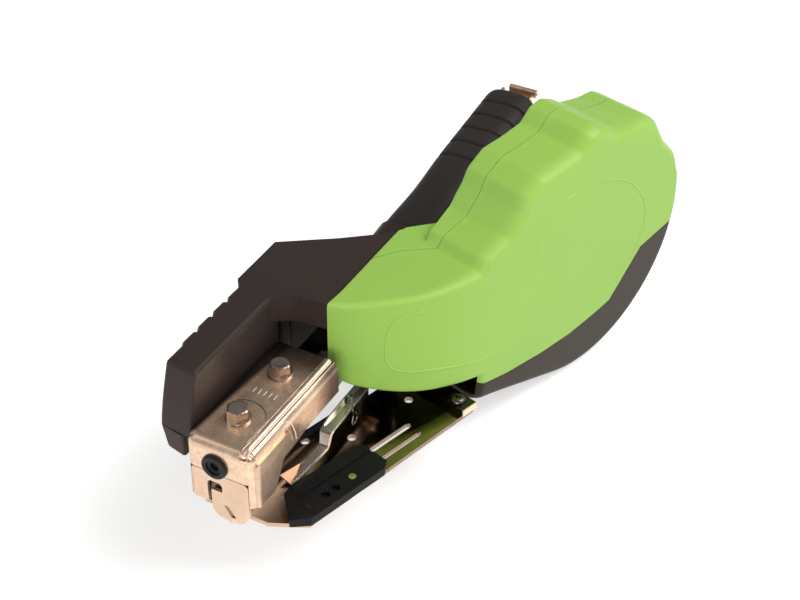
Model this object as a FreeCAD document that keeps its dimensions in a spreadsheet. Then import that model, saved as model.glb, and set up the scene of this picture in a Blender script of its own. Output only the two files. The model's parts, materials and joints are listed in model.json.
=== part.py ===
import FreeCAD, Part
import math
import os
import Sketcher
from FreeCAD import Placement, Rotation, Vector

# A hammer tacker that drives each staple through a plastic cap taken from a coil in a drum.
# Millimetres. +X runs back towards the handle, +Y to the tool's left, +Z away from the work.
# The origin is on the base plate's underside, below the middle of the nose's front face.

SIZES = {
    "span": 100.0, "nose_length": 64.0, "nose_half": 15.2, "nose_top": 42.0, "nose_sheet": 1.6,
    "nose_edge": 4.5, "nose_left_low": 11.5, "nose_right_low": 27.0, "nose_right_front": 15.0,
    "nose_right_reach": 14.0, "nose_right_rise": 7.0, "seam_gap": 0.3, "bead_radius": 1.6,
    "bead_length": 58.0, "bead_side": 11.4, "side_plate_thick": 0.9, "plate_high": 27.0,
    "plate_left": 13.9, "plate_right": 13.2, "plate_thick": 1.5, "plug_radius": 5.5, "plug_bore": 1.9,
    "plug_height": 31.1, "plug_proud": 1.6, "plug_depth": 1.3, "bolt_radius": 2.5, "bolt_flats": 8.0,
    "bolt_head": 4.4, "washer_radius": 5.2, "washer_thick": 1.0, "bolt_front": 17.1, "bolt_rear": 47.4,
    "fit": 0.05, "free": 0.5, "soft": 0.3, "drive_side": 1.5, "rail_rise": 8.5,
    "rail_start": 5.4, "rail_end": 118.0, "rail_width": 13.2, "rail_height": 12.0, "rail_wall": 1.0,
    "hanger_width": 9.0, "hanger_start": 12.0, "hanger_end": 54.0, "blade_thick": 1.0,
    "blade_width": 11.0, "blade_radius": 110.2, "blade_low": 13.4, "yoke_low": 30.0, "yoke_high": 38.0,
    "yoke_side": 2.9, "yoke_half": 11.5, "yoke_bar": 5.0, "yoke_front": 5.9, "yoke_rear": 57.5,
    "pivot_reach": 112.0, "pivot_height": 12.0, "pivot_radius": 2.5, "ear_drop": 6.5, "ear_reach": 7.0,
    "track_thick": 2.0, "track_front": 8.5, "track_end": 121.0, "hole_radius": 1.9, "slot_width": 2.6,
    "fine_slot_width": 1.8, "slot_start": 70.5, "slot_end": 91.0, "slot_side": 11.2,
    "fine_slot_side": 17.8, "bracket_length": 10.0, "bracket_thick": 3.0, "bracket_left": 10.0,
    "bracket_right": 27.0, "bracket_screw_side": 20.0, "screw_radius": 2.0, "screw_head": 3.4,
    "screw_head_thick": 2.0, "guide_thick": 4.0, "guide_end": 67.0, "guide_lip": 13.4,
    "guide_under": 2.0, "guide_groove": 1.6, "recess_radius": 1.9, "recess_depth": 1.6,
    "rivet_radius": 1.7, "rivet_proud": 0.4, "left_guide_side": 14.2, "left_guide_width": 1.4,
    "left_guide_height": 3.2, "left_guide_front": 30.0, "left_guide_end": 84.0, "lever_width": 5.4,
    "lever_pin_reach": 90.0, "lever_pin_height": 15.0, "lever_side": 18.2, "lever_eye": 3.2,
    "lever_pin_radius": 1.6, "strap_reach": 14.0, "strap_end": 45.0, "strap_high": 18.0,
    "wire_radius": 0.55, "hook_coil": 2.0, "drum_radius": 65.0, "drum_reach": 200.0,
    "drum_height": 40.0, "drum_outer": 16.0, "drum_inner": 19.5, "drum_wall": 2.6, "drum_split": 8.5,
    "shoulder": 6.0, "shoulder_depth": 4.2, "shoulder_step": 2.0, "body_top": 63.0, "drum_front": 70.0, "seam": 0.3,
    "wedge_side": 6.2, "axle_radius": 5.0, "reel_bore": 5.06, "reel_hub": 14.0, "reel_flange": 52.0,
    "reel_flange_thick": 2.0, "hub_window": 7.0, "hinge_radius": 3.2, "hinge_pin": 1.5,
    "hinge_gap": 0.2, "hinge_low": 26.0, "hinge_high": 54.0, "latch_reach": 152.0,
    "latch_height": 44.0, "latch_length": 14.0, "latch_depth": 6.0, "latch_thick": 2.2,
    "latch_knob": 4.0, "shroud_front": 11.4, "shroud_lean": 5.0, "shroud_inner": 15.8,
    "shroud_outer": 28.4, "shroud_flare": 3.0, "shroud_end": 63.0, "shroud_low": 23.5,
    "shell_seam": 34.0, "lower_side": 19.6, "body_left": 33.8, "body_wall": 3.0, "roof_low": 50.5,
    "cheek_width": 2.6, "cheek_reach": 8.0, "handle_rise": 13.6, "neck_start": 121.0,
    "handle_start": 139.0, "handle_end": 262.0, "handle_half": 13.4, "handle_tall": 15.4,
    "core_width": 14.2, "core_height": 13.0, "core_wall": 1.2, "core_drop": 5.1, "grip_start": 156.0,
    "grip_thick": 2.0, "rib_pitch": 11.0, "rib_depth": 1.1, "rib_width": 1.6, "rib_first": 252.0,
    "neck_half": 15.0, "end_plate_thick": 2.0, "end_plate_half": 10.5, "end_plate_tall": 12.5,
    "end_latch_width": 12.0, "end_latch_thick": 1.6, "end_latch_drop": 15.0, "end_latch_reach": 3.2,
    "end_pin_radius": 1.5, "pusher_length": 12.0, "pusher_start": 98.0, "rod_radius": 1.5, "rod_drop": 2.6,
    "spring_radius": 2.6, "spring_wire": 0.45, "spring_pitch": 2.4, "return_wire": 0.6,
    "return_radius": 3.4, "overrun": 5.0, "ear_top": 22.0, "ear_round": 5.0, "return_pitch": 1.9,
    "tab_end": 45.0, "tab_side": 13.5, "hole_front": 69.3, "hole_rear": 102.8, "hole_side_reach": 54.2,
    "hole_side": 11.9, "rivet_side": 19.7, "rivet_front": 26.7, "rivet_rear": 50.6,
    "recess_front": 36.0, "recess_rear": 41.5, "strap_thick": 1.5,
    "lever_gap": 0.1, "post_thick": 2.0, "hook_reach": 66.0, "hook_height": 14.2, "cheek_left": 9.6,
    "cheek_right": -9.0, "cheek_low": 4.0, "tang_half": 4.4, "tang_end": 104.0, "tang_front": 89.0,
    "tang_rear": 99.0, "boss_radius": 3.8, "shroud_wall": 2.2, "shroud_nose": 2.4, "anchor_front": 84.0,
    "anchor_left": 11.0, "neck_low": 16.0, "neck_high": 46.0, "neck_right": 7.7, "boss_side": 27.4,
    "boss_front": 76.0, "boss_rear": 90.0, "boss_low": 10.0, "boss_bite": 12.0, "boss_head": 3.0, "bore_radius": 1.6,
    "core_start": 124.0, "lower_gap": 6.0, "window_step": 2.4, "flange_screw_reach": 116.0,
    "flange_screw_low": 42.0, "flange_screw_high": 54.0, "flange_thick": 2.6, "flange_front": 109.0,
    "flange_end": 128.0, "handle_corner": 7.0, "end_pin_height": 8.5, "wedge_rear": 130.0,
    "drum_front_shift": 0.8, "wedge_end": 143.0, "room_end": 124.0, "room_end_side": 28.6,
    "mouth_low": 3.4, "mouth_high": 16.0, "wedge_gap_shift": 6.0, "hinge_arm": 5.8,
    "hinge_mid_low": 36.2, "hinge_mid_high": 43.8, "latch_half": 4.8, "latch_rail": 1.4,
}

RIB_COUNT = 5
SLOPE_DEGREES = 7.28
PLAN_DEGREES = 16.4

# Places round the drum's axis: degrees, then the share of the drum's radius at that facet corner.
DRUM_CORNER_SHARES = (
    (160.0, 1.035), (155.4, 0.981), (149.8, 0.947), (138.5, 0.975), (124.6, 0.962), (114.6, 0.924),
    (103.8, 0.875), (96.3, 0.920), (89.0, 0.940), (83.2, 0.905), (77.7, 0.868), (64.6, 0.885),
    (54.5, 0.954), (48.2, 0.970), (40.4, 0.940), (33.8, 0.930), (22.1, 0.985), (10.6, 1.0),
)
DRUM_TANGENT_DEGREES = 253.1

# The cover's lower front edge, and the line between green shell and black shell: shares of the span
# behind the nose and above the base.
FRONT_EDGE_SHARES = (
    (1.280, -0.062), (1.300, 0.060), (1.045, 0.122), (0.870, 0.163), (0.740, 0.224), (0.710, 0.290),
    (0.700, 0.340),
)
SHELL_LINE_SHARES = (
    (1.220, 0.075), (1.310, 0.030), (1.470, 0.0), (1.700, -0.020), (1.900, -0.022), (2.080, 0.0),
    (2.180, 0.020), (2.380, 0.220), (2.585, 0.260), (2.780, 0.296),
)

# Outlines as shares of the span: corners, some with the share of a corner's rounding.
BODY_PLAN_SHARES = (
    (0.708, -0.062), (1.276, -0.062), (1.222, 0.001), (1.127, 0.117), (0.973, 0.338), (0.682, 0.334),
    (0.630, 0.293), (0.630, 0.158), (0.644, 0.153), (0.677, 0.114), (0.702, 0.055),
)
BODY_ROOM_SHARES = (
    (0.740, -0.032), (1.216, -0.032), (0.958, 0.308), (0.700, 0.308), (0.662, 0.280), (0.662, 0.190),
    (0.715, 0.120), (0.738, 0.058),
)
FRONT_ROOM_SHARES = ((0.500, -0.070), (0.760, -0.070), (0.760, 0.155), (0.500, 0.155))
LOWER_PLAN_SHARES = (
    (0.632, 0.158), (0.632, 0.293), (0.682, 0.334), (0.973, 0.338), (1.273, -0.058), (1.250, -0.090),
    (1.040, -0.090), (1.040, -0.062), (1.195, -0.062), (1.195, -0.058), (1.235, -0.058), (0.958, 0.308),
    (0.695, 0.306), (0.662, 0.280), (0.662, 0.158),
)
NECK_PLAN_SHARES = (
    (1.195, -0.062), (1.320, -0.062), (1.320, 0.165), (1.089, 0.165), (1.145, 0.096), (1.195, 0.096),
)
SHROUD_SHARES = (
    (0.114, 0.158), (0.640, 0.158), (0.640, 0.290), (0.571, 0.290), (0.571, 0.279), (0.531, 0.290),
    (0.466, 0.290), (0.466, 0.279), (0.428, 0.288), (0.358, 0.288), (0.358, 0.277), (0.320, 0.284),
    (0.250, 0.284), (0.230, 0.278), (0.114, 0.278),
)
TRACK_SHARES = ((0.047, 0.142), (0.125, -0.124), (0.232, -0.243))
GUIDE_SHARES = (
    (0.166, -0.201), (0.231, -0.254), (0.631, -0.254), (0.668, -0.229), (0.669, -0.100), (0.661, -0.084),
    (0.311, -0.061), (0.248, -0.079),
)
LEVER_SHARES = (
    (0.900, 0.157), (0.530, 0.146), (0.275, 0.081), (0.275, 0.067), (0.534, 0.132), (0.900, 0.143),
)
PLATE_SHARES = (
    (0.139, 0.115, 0.025), (0.139, 0.270, 0.030), (-0.132, 0.270, 0.030), (-0.132, 0.100, 0.030),
    (-0.095, 0.055, 0.030), (-0.048, 0.040, 0.030), (0.015, 0.055, 0.020), (0.040, 0.085, 0.010),
    (0.040, 0.184, 0.005), (-0.010, 0.184, 0.005), (-0.010, 0.227, 0.018), (0.056, 0.227, 0.018),
    (0.056, 0.115, 0.006),
)
HOOK_SHARES = ((-0.030, 0.125, 0.005), (-0.012, 0.122, 0.005), (-0.045, 0.070, 0.005), (-0.068, 0.072, 0.005))
SIDE_PLATE_SHARES = (
    (0.016, 0.150, 0.010), (0.016, 0.365, 0.020), (0.250, 0.365, 0.030), (0.310, 0.275, 0.010),
    (0.210, 0.270, 0.010), (0.140, 0.150, 0.010),
)

# Where the magazine's door meets its base, in plan: shares of the span along and across the drum.
DOOR_SHARES = (
    (1.020, 0.600), (1.020, 0.240), (1.160, 0.190), (1.280, 0.095), (1.500, 0.085), (2.800, 0.085),
)

# The magazine's front seen from above: shares of the span behind the nose, then across the drum.
PLAN_LINE_SHARES = (
    (0.700, 0.138), (0.767, 0.059), (0.850, -0.004), (0.987, -0.090), (1.150, -0.140), (1.330, -0.160),
)


class Length:
    """A number that also keeps the sheet formula it was worked out from."""

    def __init__(self, value, text):
        self.value = float(value)
        self.text = text

    def __float__(self):
        return self.value

    def __neg__(self):
        return Length(-self.value, f"-({self.text})")

    def _join(self, other, sign, value, swap=False):
        text = other.text if isinstance(other, Length) else repr(float(other))
        left, right = (text, self.text) if swap else (self.text, text)
        return Length(value, f"({left} {sign} {right})")

    def __add__(self, other):
        return self._join(other, "+", self.value + float(other))

    def __radd__(self, other):
        return self._join(other, "+", float(other) + self.value, True)

    def __sub__(self, other):
        return self._join(other, "-", self.value - float(other))

    def __rsub__(self, other):
        return self._join(other, "-", float(other) - self.value, True)

    def __mul__(self, other):
        return self._join(other, "*", self.value * float(other))

    def __rmul__(self, other):
        return self._join(other, "*", float(other) * self.value, True)

    def __truediv__(self, other):
        return self._join(other, "/", self.value / float(other))


class Sheet:
    """The driving dimensions, by name."""


doc = FreeCAD.newDocument("cap_tacker")
cells = doc.addObject("Spreadsheet::Sheet", "Sizes")
S = Sheet()
for row, (name, value) in enumerate(SIZES.items(), start=1):
    cells.set(f"A{row}", name)
    cells.set(f"B{row}", str(value))
    cells.setAlias(f"B{row}", name)
    setattr(S, name, Length(value, f"Sizes.{name}"))
doc.recompute()

ZERO = Length(0, "0")
parts = {}


def bind(thing, prop, length):
    """Tie a property to the sheet."""
    thing.setExpression(prop, length.text if isinstance(length, Length) else repr(float(length)))


def keep(label, thing):
    """Name a sub-part and list it for the assembly."""
    thing.Label = label
    parts[label] = thing
    return thing


def flat(x, y):
    return Vector(float(x), float(y), 0)


def lines(points):
    """Straight edges round a closed outline."""
    corners = [flat(x, y) for x, y in points]
    return [Part.LineSegment(a, b) for a, b in zip(corners, corners[1:] + corners[:1])]


def rounded(points):
    """A closed outline whose corners (x, y, radius) are rounded by tangent arcs."""
    corners = [(flat(x, y), float(r)) for x, y, r in points]
    count = len(corners)
    cuts = []
    for index, (corner, radius) in enumerate(corners):
        before = corners[index - 1][0] - corner
        after = corners[(index + 1) % count][0] - corner
        half = before.getAngle(after) / 2
        reach = radius / math.tan(half) if radius else 0.0
        reach = min(reach, before.Length * 0.49, after.Length * 0.49)
        before.normalize()
        after.normalize()
        bisector = before + after
        if reach and bisector.Length > 1e-6:
            bisector.normalize()
            real = reach * math.tan(half)
            middle = corner + bisector * (real / math.sin(half) - real)
            cuts.append((corner + before * reach, middle, corner + after * reach))
        else:
            cuts.append((corner, None, corner))
    edges = []
    for index, (start, middle, end) in enumerate(cuts):
        if middle is not None:
            edges.append(Part.Arc(start, middle, end))
        following = cuts[(index + 1) % count][0]
        if end.distanceToPoint(following) > 1e-6:
            edges.append(Part.LineSegment(end, following))
    return edges


def box_points(x0, y0, x1, y1):
    return [(x0, y0), (x1, y0), (x1, y1), (x0, y1)]


def spread(shares, length):
    """Corners (or corners with a rounding) from shares of a length."""
    return [tuple(float(length) * share for share in corner) for corner in shares]


def circle(x, y, radius):
    """A circle and the named radius that drives it."""
    return (Part.Circle(flat(x, y), Vector(0, 0, 1), float(radius)), radius)


def hexagon(x, y, across):
    radius = float(across) / math.sqrt(3)
    turns = [math.radians(60 * step) for step in range(6)]
    return lines([(float(x) + radius * math.cos(a), float(y) + radius * math.sin(a)) for a in turns])


def body(label, place=None):
    made = doc.addObject("PartDesign::Body", label)
    made.Label = label
    if place is not None:
        made.Placement = place
    return made


def sketch(owner, role, edges, lift):
    """A sketch on one of the body's own planes, lifted along that plane's normal."""
    plane = next(item for item in owner.Origin.OriginFeatures if item.Role == role)
    made = owner.newObject("Sketcher::SketchObject", owner.Name + "_sketch")
    made.AttachmentSupport = (plane, [""])
    made.MapMode = "FlatFace"
    bind(made, "AttachmentOffset.Base.z", lift)
    for edge in edges:
        if isinstance(edge, tuple):
            index = made.addGeometry(edge[0], False)
            rule = made.addConstraint(Sketcher.Constraint("Radius", index, edge[0].Radius))
            bind(made, f"Constraints[{rule}]", edge[1])
        else:
            made.addGeometry(edge, False)
    return made


def feature(owner, kind, role, edges, low, high):
    """A pad or pocket between two levels along the plane's world axis."""
    lift = -high if role == "XZ_Plane" else low
    if kind == "Pocket":
        lift = -low if role == "XZ_Plane" else high
    made = owner.newObject("PartDesign::" + kind, owner.Name + "_" + kind.lower())
    made.Profile = sketch(owner, role, edges, lift)
    bind(made, "Length", high - low)
    owner.Tip = made
    return made


def pad(owner, role, edges, low, high):
    return feature(owner, "Pad", role, edges, low, high)


def pocket(owner, role, edges, low, high):
    return feature(owner, "Pocket", role, edges, low, high)


def block(label, role, edges, low, high, place=None):
    """A one-pad body."""
    made = body(label, place)
    pad(made, role, edges, low, high)
    return made


def rod(label, start, axis, radius, length):
    """A round bar from a start point along X, Y or Z, all bound to the sheet."""
    made = doc.addObject("Part::Cylinder", label)
    turns = {"X": Rotation(Vector(0, 1, 0), 90), "Y": Rotation(Vector(1, 0, 0), -90), "Z": Rotation()}
    made.Placement = Placement(Vector(), turns[axis])
    for name, value in zip("xyz", start):
        bind(made, f"Placement.Base.{name}", value if isinstance(value, Length) else Length(value, str(value)))
    bind(made, "Radius", radius)
    bind(made, "Height", length)
    return made


def cut(label, base, *tools):
    made = base
    for number, tool in enumerate(tools):
        step = doc.addObject("Part::Cut", f"{label}_cut{number}")
        step.Base = made
        step.Tool = tool
        made = step
    return made


def fuse(label, *shapes):
    made = doc.addObject("Part::MultiFuse", label + "_fuse")
    made.Shapes = list(shapes)
    return made


def common(label, base, tool):
    made = doc.addObject("Part::Common", label + "_common")
    made.Base = base
    made.Tool = tool
    return made


def moved(thing, place):
    """Turn or shift a finished boolean as a whole."""
    thing.Placement = place
    return thing


# Frames. The rail and handle climb to the rear; the drum and cap track are turned in plan.
SLOPE = math.radians(SLOPE_DEGREES)
CLIMB = Rotation(Vector(0, 1, 0), -SLOPE_DEGREES)
RAIL_PLACE = Placement(Vector(0, float(S.drive_side), float(S.rail_rise)), CLIMB)
ROD_PLACE = RAIL_PLACE.multiply(Placement(Vector(0, 0, -float(S.rod_drop)), Rotation()))
HANDLE_PLACE = Placement(Vector(0, float(S.drive_side), float(S.handle_rise)), CLIMB)
PLAN_PLACE = Placement(Vector(), Rotation(Vector(0, 0, 1), -PLAN_DEGREES))


def rail_line(x):
    """Height of the rail's middle at a distance from the nose."""
    return float(S.rail_rise) + math.tan(SLOPE) * float(x)


def plan(reach, side):
    """A point given along and across the drum and cap track, in the row's X and Y."""
    turn = math.radians(PLAN_DEGREES)
    x = float(reach) * math.cos(turn) + float(side) * math.sin(turn)
    y = -float(reach) * math.sin(turn) + float(side) * math.cos(turn)
    return x, y


def box(label, x0, y0, z0, x1, y1, z1, place=None):
    """A rectangular cutting or filling block."""
    return block(label, "XY_Plane", lines(box_points(x0, y0, x1, y1)), z0, z1, place)


# Nose housing: sheet steel folded over the rail, open below and behind, lower on its left side.
def nose_housing():
    shell = body("nose_housing_sheet")
    edge = S.nose_edge
    outer = [(-S.nose_half, S.nose_left_low, 0), (-S.nose_half, S.nose_top, edge),
             (S.nose_half, S.nose_top, edge), (S.nose_half, S.nose_left_low, 0)]
    pad(shell, "YZ_Plane", rounded(outer), ZERO, S.nose_length)
    half = S.nose_half - S.nose_sheet
    inner = [(-half, S.nose_left_low - S.overrun, 0), (-half, S.nose_top - S.nose_sheet, edge - S.nose_sheet),
             (half, S.nose_top - S.nose_sheet, edge - S.nose_sheet), (half, S.nose_left_low - S.overrun, 0)]
    pocket(shell, "YZ_Plane", rounded(inner), S.nose_sheet, S.nose_length + S.overrun)
    window = box_points(-S.plate_right - S.seam_gap, S.nose_left_low - S.overrun,
                        S.plate_left + S.seam_gap, S.plate_high + S.seam_gap)
    pocket(shell, "YZ_Plane", lines(window), -S.overrun, S.nose_sheet + S.seam_gap)
    below = S.nose_left_low - S.overrun
    right = [(-S.overrun, below), (-S.overrun, S.nose_right_front), (S.nose_right_reach, S.nose_right_front),
             (S.nose_right_reach + S.nose_right_rise, S.nose_right_low),
             (S.nose_length + S.overrun, S.nose_right_low), (S.nose_length + S.overrun, below)]
    pocket(shell, "XZ_Plane", lines(right), -S.nose_half - S.overrun, -half + S.seam_gap)
    pocket(shell, "YZ_Plane", [circle(S.drive_side, S.plug_height, S.plug_radius + S.fit)],
           -S.overrun, S.nose_sheet + S.seam_gap)
    holes = [circle(x, S.drive_side, S.bolt_radius + S.fit) for x in (S.bolt_front, S.bolt_rear)]
    pocket(shell, "XY_Plane", holes, S.nose_top - S.nose_sheet - S.seam_gap, S.nose_top + S.overrun)
    bead = rod("nose_bead", (ZERO + S.bead_radius, -S.bead_side, S.nose_top), "X", S.bead_radius, S.bead_length)
    keep("nose_housing", fuse("nose_housing", shell, bead))


def side_plate():
    """A doubling plate on the right wall, ahead of where the caps come in."""
    made = body("side_plate")
    outline = rounded(spread(SIDE_PLATE_SHARES, S.span))
    pad(made, "XZ_Plane", outline, -S.nose_half - S.side_plate_thick, -S.nose_half)
    keep("side_plate", made)


# Front plate: the hardened guide that the staple leaves through, with its slit, arch and long tongue.
def nose_plate():
    made = body("nose_plate")
    pad(made, "YZ_Plane", rounded(spread(PLATE_SHARES, S.span)), ZERO, S.plate_thick)
    pocket(made, "YZ_Plane", rounded(spread(HOOK_SHARES, S.span)), -S.overrun, S.plate_thick + S.overrun)
    pocket(made, "YZ_Plane", [circle(S.drive_side, S.plug_height, S.plug_radius + S.fit)],
           -S.overrun, S.plate_thick + S.overrun)
    keep("nose_plate", made)


def nose_plug():
    """The black bumper ring set in the front, with a blind bore."""
    made = body("nose_plug")
    pad(made, "YZ_Plane", [circle(S.drive_side, S.plug_height, S.plug_radius)], -S.plug_proud, S.plug_depth)
    pocket(made, "YZ_Plane", [circle(S.drive_side, S.plug_height, S.plug_bore)],
           -S.plug_proud - S.overrun, S.plug_depth - S.nose_sheet)
    keep("nose_plug", made)


def nose_bolts():
    """Two hexagon bolts through the top into the rail hanger, each on a washer."""
    bolts = body("nose_bolts")
    washers = body("nose_washers")
    for x in (S.bolt_front, S.bolt_rear):
        seat = S.nose_top + S.washer_thick
        pad(bolts, "XY_Plane", hexagon(x, S.drive_side, S.bolt_flats), seat, seat + S.bolt_head)
        pad(bolts, "XY_Plane", [circle(x, S.drive_side, S.bolt_radius)],
            S.nose_top - S.nose_sheet - S.bolt_head, seat)
        ring = [circle(x, S.drive_side, S.washer_radius), circle(x, S.drive_side, S.bolt_radius + S.fit)]
        pad(washers, "XY_Plane", ring, S.nose_top, seat)
    keep("nose_bolts", bolts)
    keep("nose_washers", washers)


# Rail group: the channel that holds the staples, its hanger, and the pusher that feeds them forward.
def rail_hanger():
    """The block that the bolts clamp, standing on the channel's web."""
    made = body("rail_hanger")
    top = S.nose_top - S.nose_sheet
    foot = [rail_line(x) + float(S.rail_height) / 2 / math.cos(SLOPE) for x in (S.hanger_start, S.hanger_end)]
    side = [(S.hanger_start, foot[0]), (S.hanger_end, foot[1]), (S.hanger_end, top), (S.hanger_start, top)]
    half = S.hanger_width / 2
    pad(made, "XZ_Plane", lines(side), S.drive_side - half, S.drive_side + half)
    holes = [circle(x, S.drive_side, S.bolt_radius + S.fit) for x in (S.bolt_front, S.bolt_rear)]
    pocket(made, "XY_Plane", holes, top - S.bolt_head - S.fit, top + S.overrun)
    keep("rail_hanger", made)


def staple_rail():
    """Folded channel, open below, with two ears down to the pivot."""
    made = body("rail_channel", RAIL_PLACE)
    half = S.rail_width / 2
    tall = S.rail_height / 2
    pad(made, "YZ_Plane", lines(box_points(-half, -tall, half, tall)), S.rail_start, S.rail_end)
    room = box_points(S.rail_wall - half, -tall - S.overrun, half - S.rail_wall, tall - S.rail_wall)
    pocket(made, "YZ_Plane", lines(room), S.rail_start - S.overrun, S.rail_end - S.rail_wall)
    ears = body("rail_ears")
    reach = S.pivot_reach
    outline = [(reach - S.ear_reach, S.ear_top, 0), (reach - S.ear_reach, S.pivot_height - S.ear_drop, S.ear_round),
               (reach + S.ear_round, S.pivot_height - S.ear_drop, S.ear_round), (reach + S.ear_round, S.ear_top, 0)]
    pad(ears, "XZ_Plane", rounded(outline), S.drive_side - half, S.drive_side + half)
    pocket(ears, "XZ_Plane", lines(box_points(reach - S.ear_reach * 2, ZERO, reach + S.ear_reach * 2, S.shell_seam)),
           S.drive_side - half + S.rail_wall, S.drive_side + half - S.rail_wall)
    pocket(ears, "XZ_Plane", [circle(reach, S.pivot_height, S.pivot_radius + S.fit)],
           S.drive_side - S.rail_width, S.drive_side + S.rail_width)
    keep("staple_rail", fuse("staple_rail", made, ears))


def staple_pusher():
    """The block that slides under the web, bored for its rod."""
    made = body("staple_pusher", RAIL_PLACE)
    half = S.rail_width / 2 - S.rail_wall - S.soft
    tall = S.rail_height / 2 - S.rail_wall - S.soft
    pad(made, "YZ_Plane", lines(box_points(-half, -tall, half, tall)),
        S.pusher_start - S.pusher_length, S.pusher_start)
    pocket(made, "YZ_Plane", [circle(ZERO, -S.rod_drop, S.rod_radius + S.fit)], ZERO, S.rail_end)
    keep("staple_pusher", made)


def pusher_rod():
    made = body("pusher_rod", RAIL_PLACE)
    pad(made, "YZ_Plane", [circle(ZERO, -S.rod_drop, S.rod_radius)], S.hanger_start, S.rail_end - S.rail_wall)
    keep("pusher_rod", made)


def coil(label, place, plane, start, radius, wire, pitch, length, axis):
    """An open coil round one of the sketch's own axes."""
    made = body(label, place)
    middle = (start, radius) if axis == "H_Axis" else (radius, start)
    profile = sketch(made, plane, [circle(*middle, wire)], ZERO)
    turn = made.newObject("PartDesign::AdditiveHelix", label + "_helix")
    turn.Profile = profile
    turn.ReferenceAxis = (profile, [axis])
    turn.Mode = 0
    bind(turn, "Pitch", pitch)
    bind(turn, "Height", length)
    made.Tip = turn
    keep(label, made)


def springs():
    """The pusher's spring, pressed short behind it, and the return spring round the pivot."""
    start = S.pusher_start + S.spring_wire * 1.5
    length = S.rail_end - S.rail_wall - S.pusher_start - S.spring_wire * 3
    coil("pusher_spring", ROD_PLACE, "XZ_Plane", start, S.spring_radius, S.spring_wire, S.spring_pitch,
         length, "H_Axis")
    place = Placement(Vector(float(S.pivot_reach), float(S.drive_side), float(S.pivot_height)), Rotation())
    wide = S.return_pitch * 4
    coil("return_spring", place, "XY_Plane", -wide / 2, S.return_radius, S.return_wire, S.return_pitch,
         wide, "V_Axis")


# Track group: the plate that lies on the work, the guide for the cap strip and the feed lever.
def along(reach, side):
    """Row X and Y turned into the track's own directions."""
    turn = math.radians(PLAN_DEGREES)
    x = float(reach) * math.cos(turn) - float(side) * math.sin(turn)
    y = float(reach) * math.sin(turn) + float(side) * math.cos(turn)
    return x, y


def slotted(start, end, side, width):
    """The outline of a slot that runs along the track."""
    half = float(width) / 2
    a, b, y = float(start), float(end), float(side)
    return [Part.LineSegment(flat(a, y - half), flat(b, y - half)),
            Part.Arc(flat(b, y - half), flat(b + half, y), flat(b, y + half)),
            Part.LineSegment(flat(b, y + half), flat(a, y + half)),
            Part.Arc(flat(a, y + half), flat(a - half, y), flat(a, y - half))]


def bracket_middle():
    """Where the rear bracket's screws stand along the track."""
    return S.track_end - S.bracket_length / 2


def base_plate():
    made = body("base_plate", PLAN_PLACE)
    outline = spread(TRACK_SHARES, S.span)
    outline += [(float(S.track_end), outline[-1][1]), (float(S.track_end), outline[0][1])]
    pad(made, "XY_Plane", lines(outline), ZERO, S.track_thick)
    tab = [along(S.track_front, ZERO), along(S.tab_end, ZERO), along(S.tab_end, S.tab_side),
           along(S.track_front, S.tab_side)]
    pad(made, "XY_Plane", lines(tab), ZERO, S.track_thick)
    holes = [circle(S.hole_front, ZERO, S.hole_radius), circle(S.hole_rear, ZERO, S.hole_radius),
             circle(S.hole_side_reach, S.hole_side, S.hole_radius)]
    holes += [circle(x, -S.rivet_side, S.rivet_radius + S.fit) for x in (S.rivet_front, S.rivet_rear)]
    holes += [circle(bracket_middle(), y, S.screw_radius + S.fit) for y in (-S.bracket_screw_side, ZERO)]
    holes += slotted(S.slot_start, S.slot_end, -S.slot_side, S.slot_width)
    holes += slotted(S.slot_start, S.slot_end, -S.fine_slot_side, S.fine_slot_width)
    pocket(made, "XY_Plane", holes, -S.overrun, S.track_thick + S.overrun)
    keep("base_plate", made)


def side_strap():
    """The upright that carries the base plate from the nose housing's left wall."""
    inner = S.nose_half - S.nose_sheet
    made = box("side_strap", S.strap_reach, inner - S.strap_thick, S.track_thick, S.strap_end, inner, S.strap_high)
    keep("side_strap", made)


def rear_bracket():
    made = body("rear_bracket", PLAN_PLACE)
    high = S.track_thick + S.bracket_thick
    start = S.track_end - S.bracket_length
    pad(made, "XY_Plane", lines(box_points(start, -S.bracket_right, S.track_end, S.bracket_left)),
        S.track_thick, high)
    holes = [circle(bracket_middle(), y, S.screw_radius + S.fit) for y in (-S.bracket_screw_side, ZERO)]
    pocket(made, "XY_Plane", holes, ZERO, high + S.overrun)
    keep("rear_bracket", made)
    screws = body("bracket_screws", PLAN_PLACE)
    for y in (-S.bracket_screw_side, ZERO):
        pad(screws, "XY_Plane", [circle(bracket_middle(), y, S.screw_radius)], ZERO, high)
        pad(screws, "XY_Plane", [circle(bracket_middle(), y, S.screw_head)], high, high + S.screw_head_thick)
    keep("bracket_screws", screws)


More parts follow.
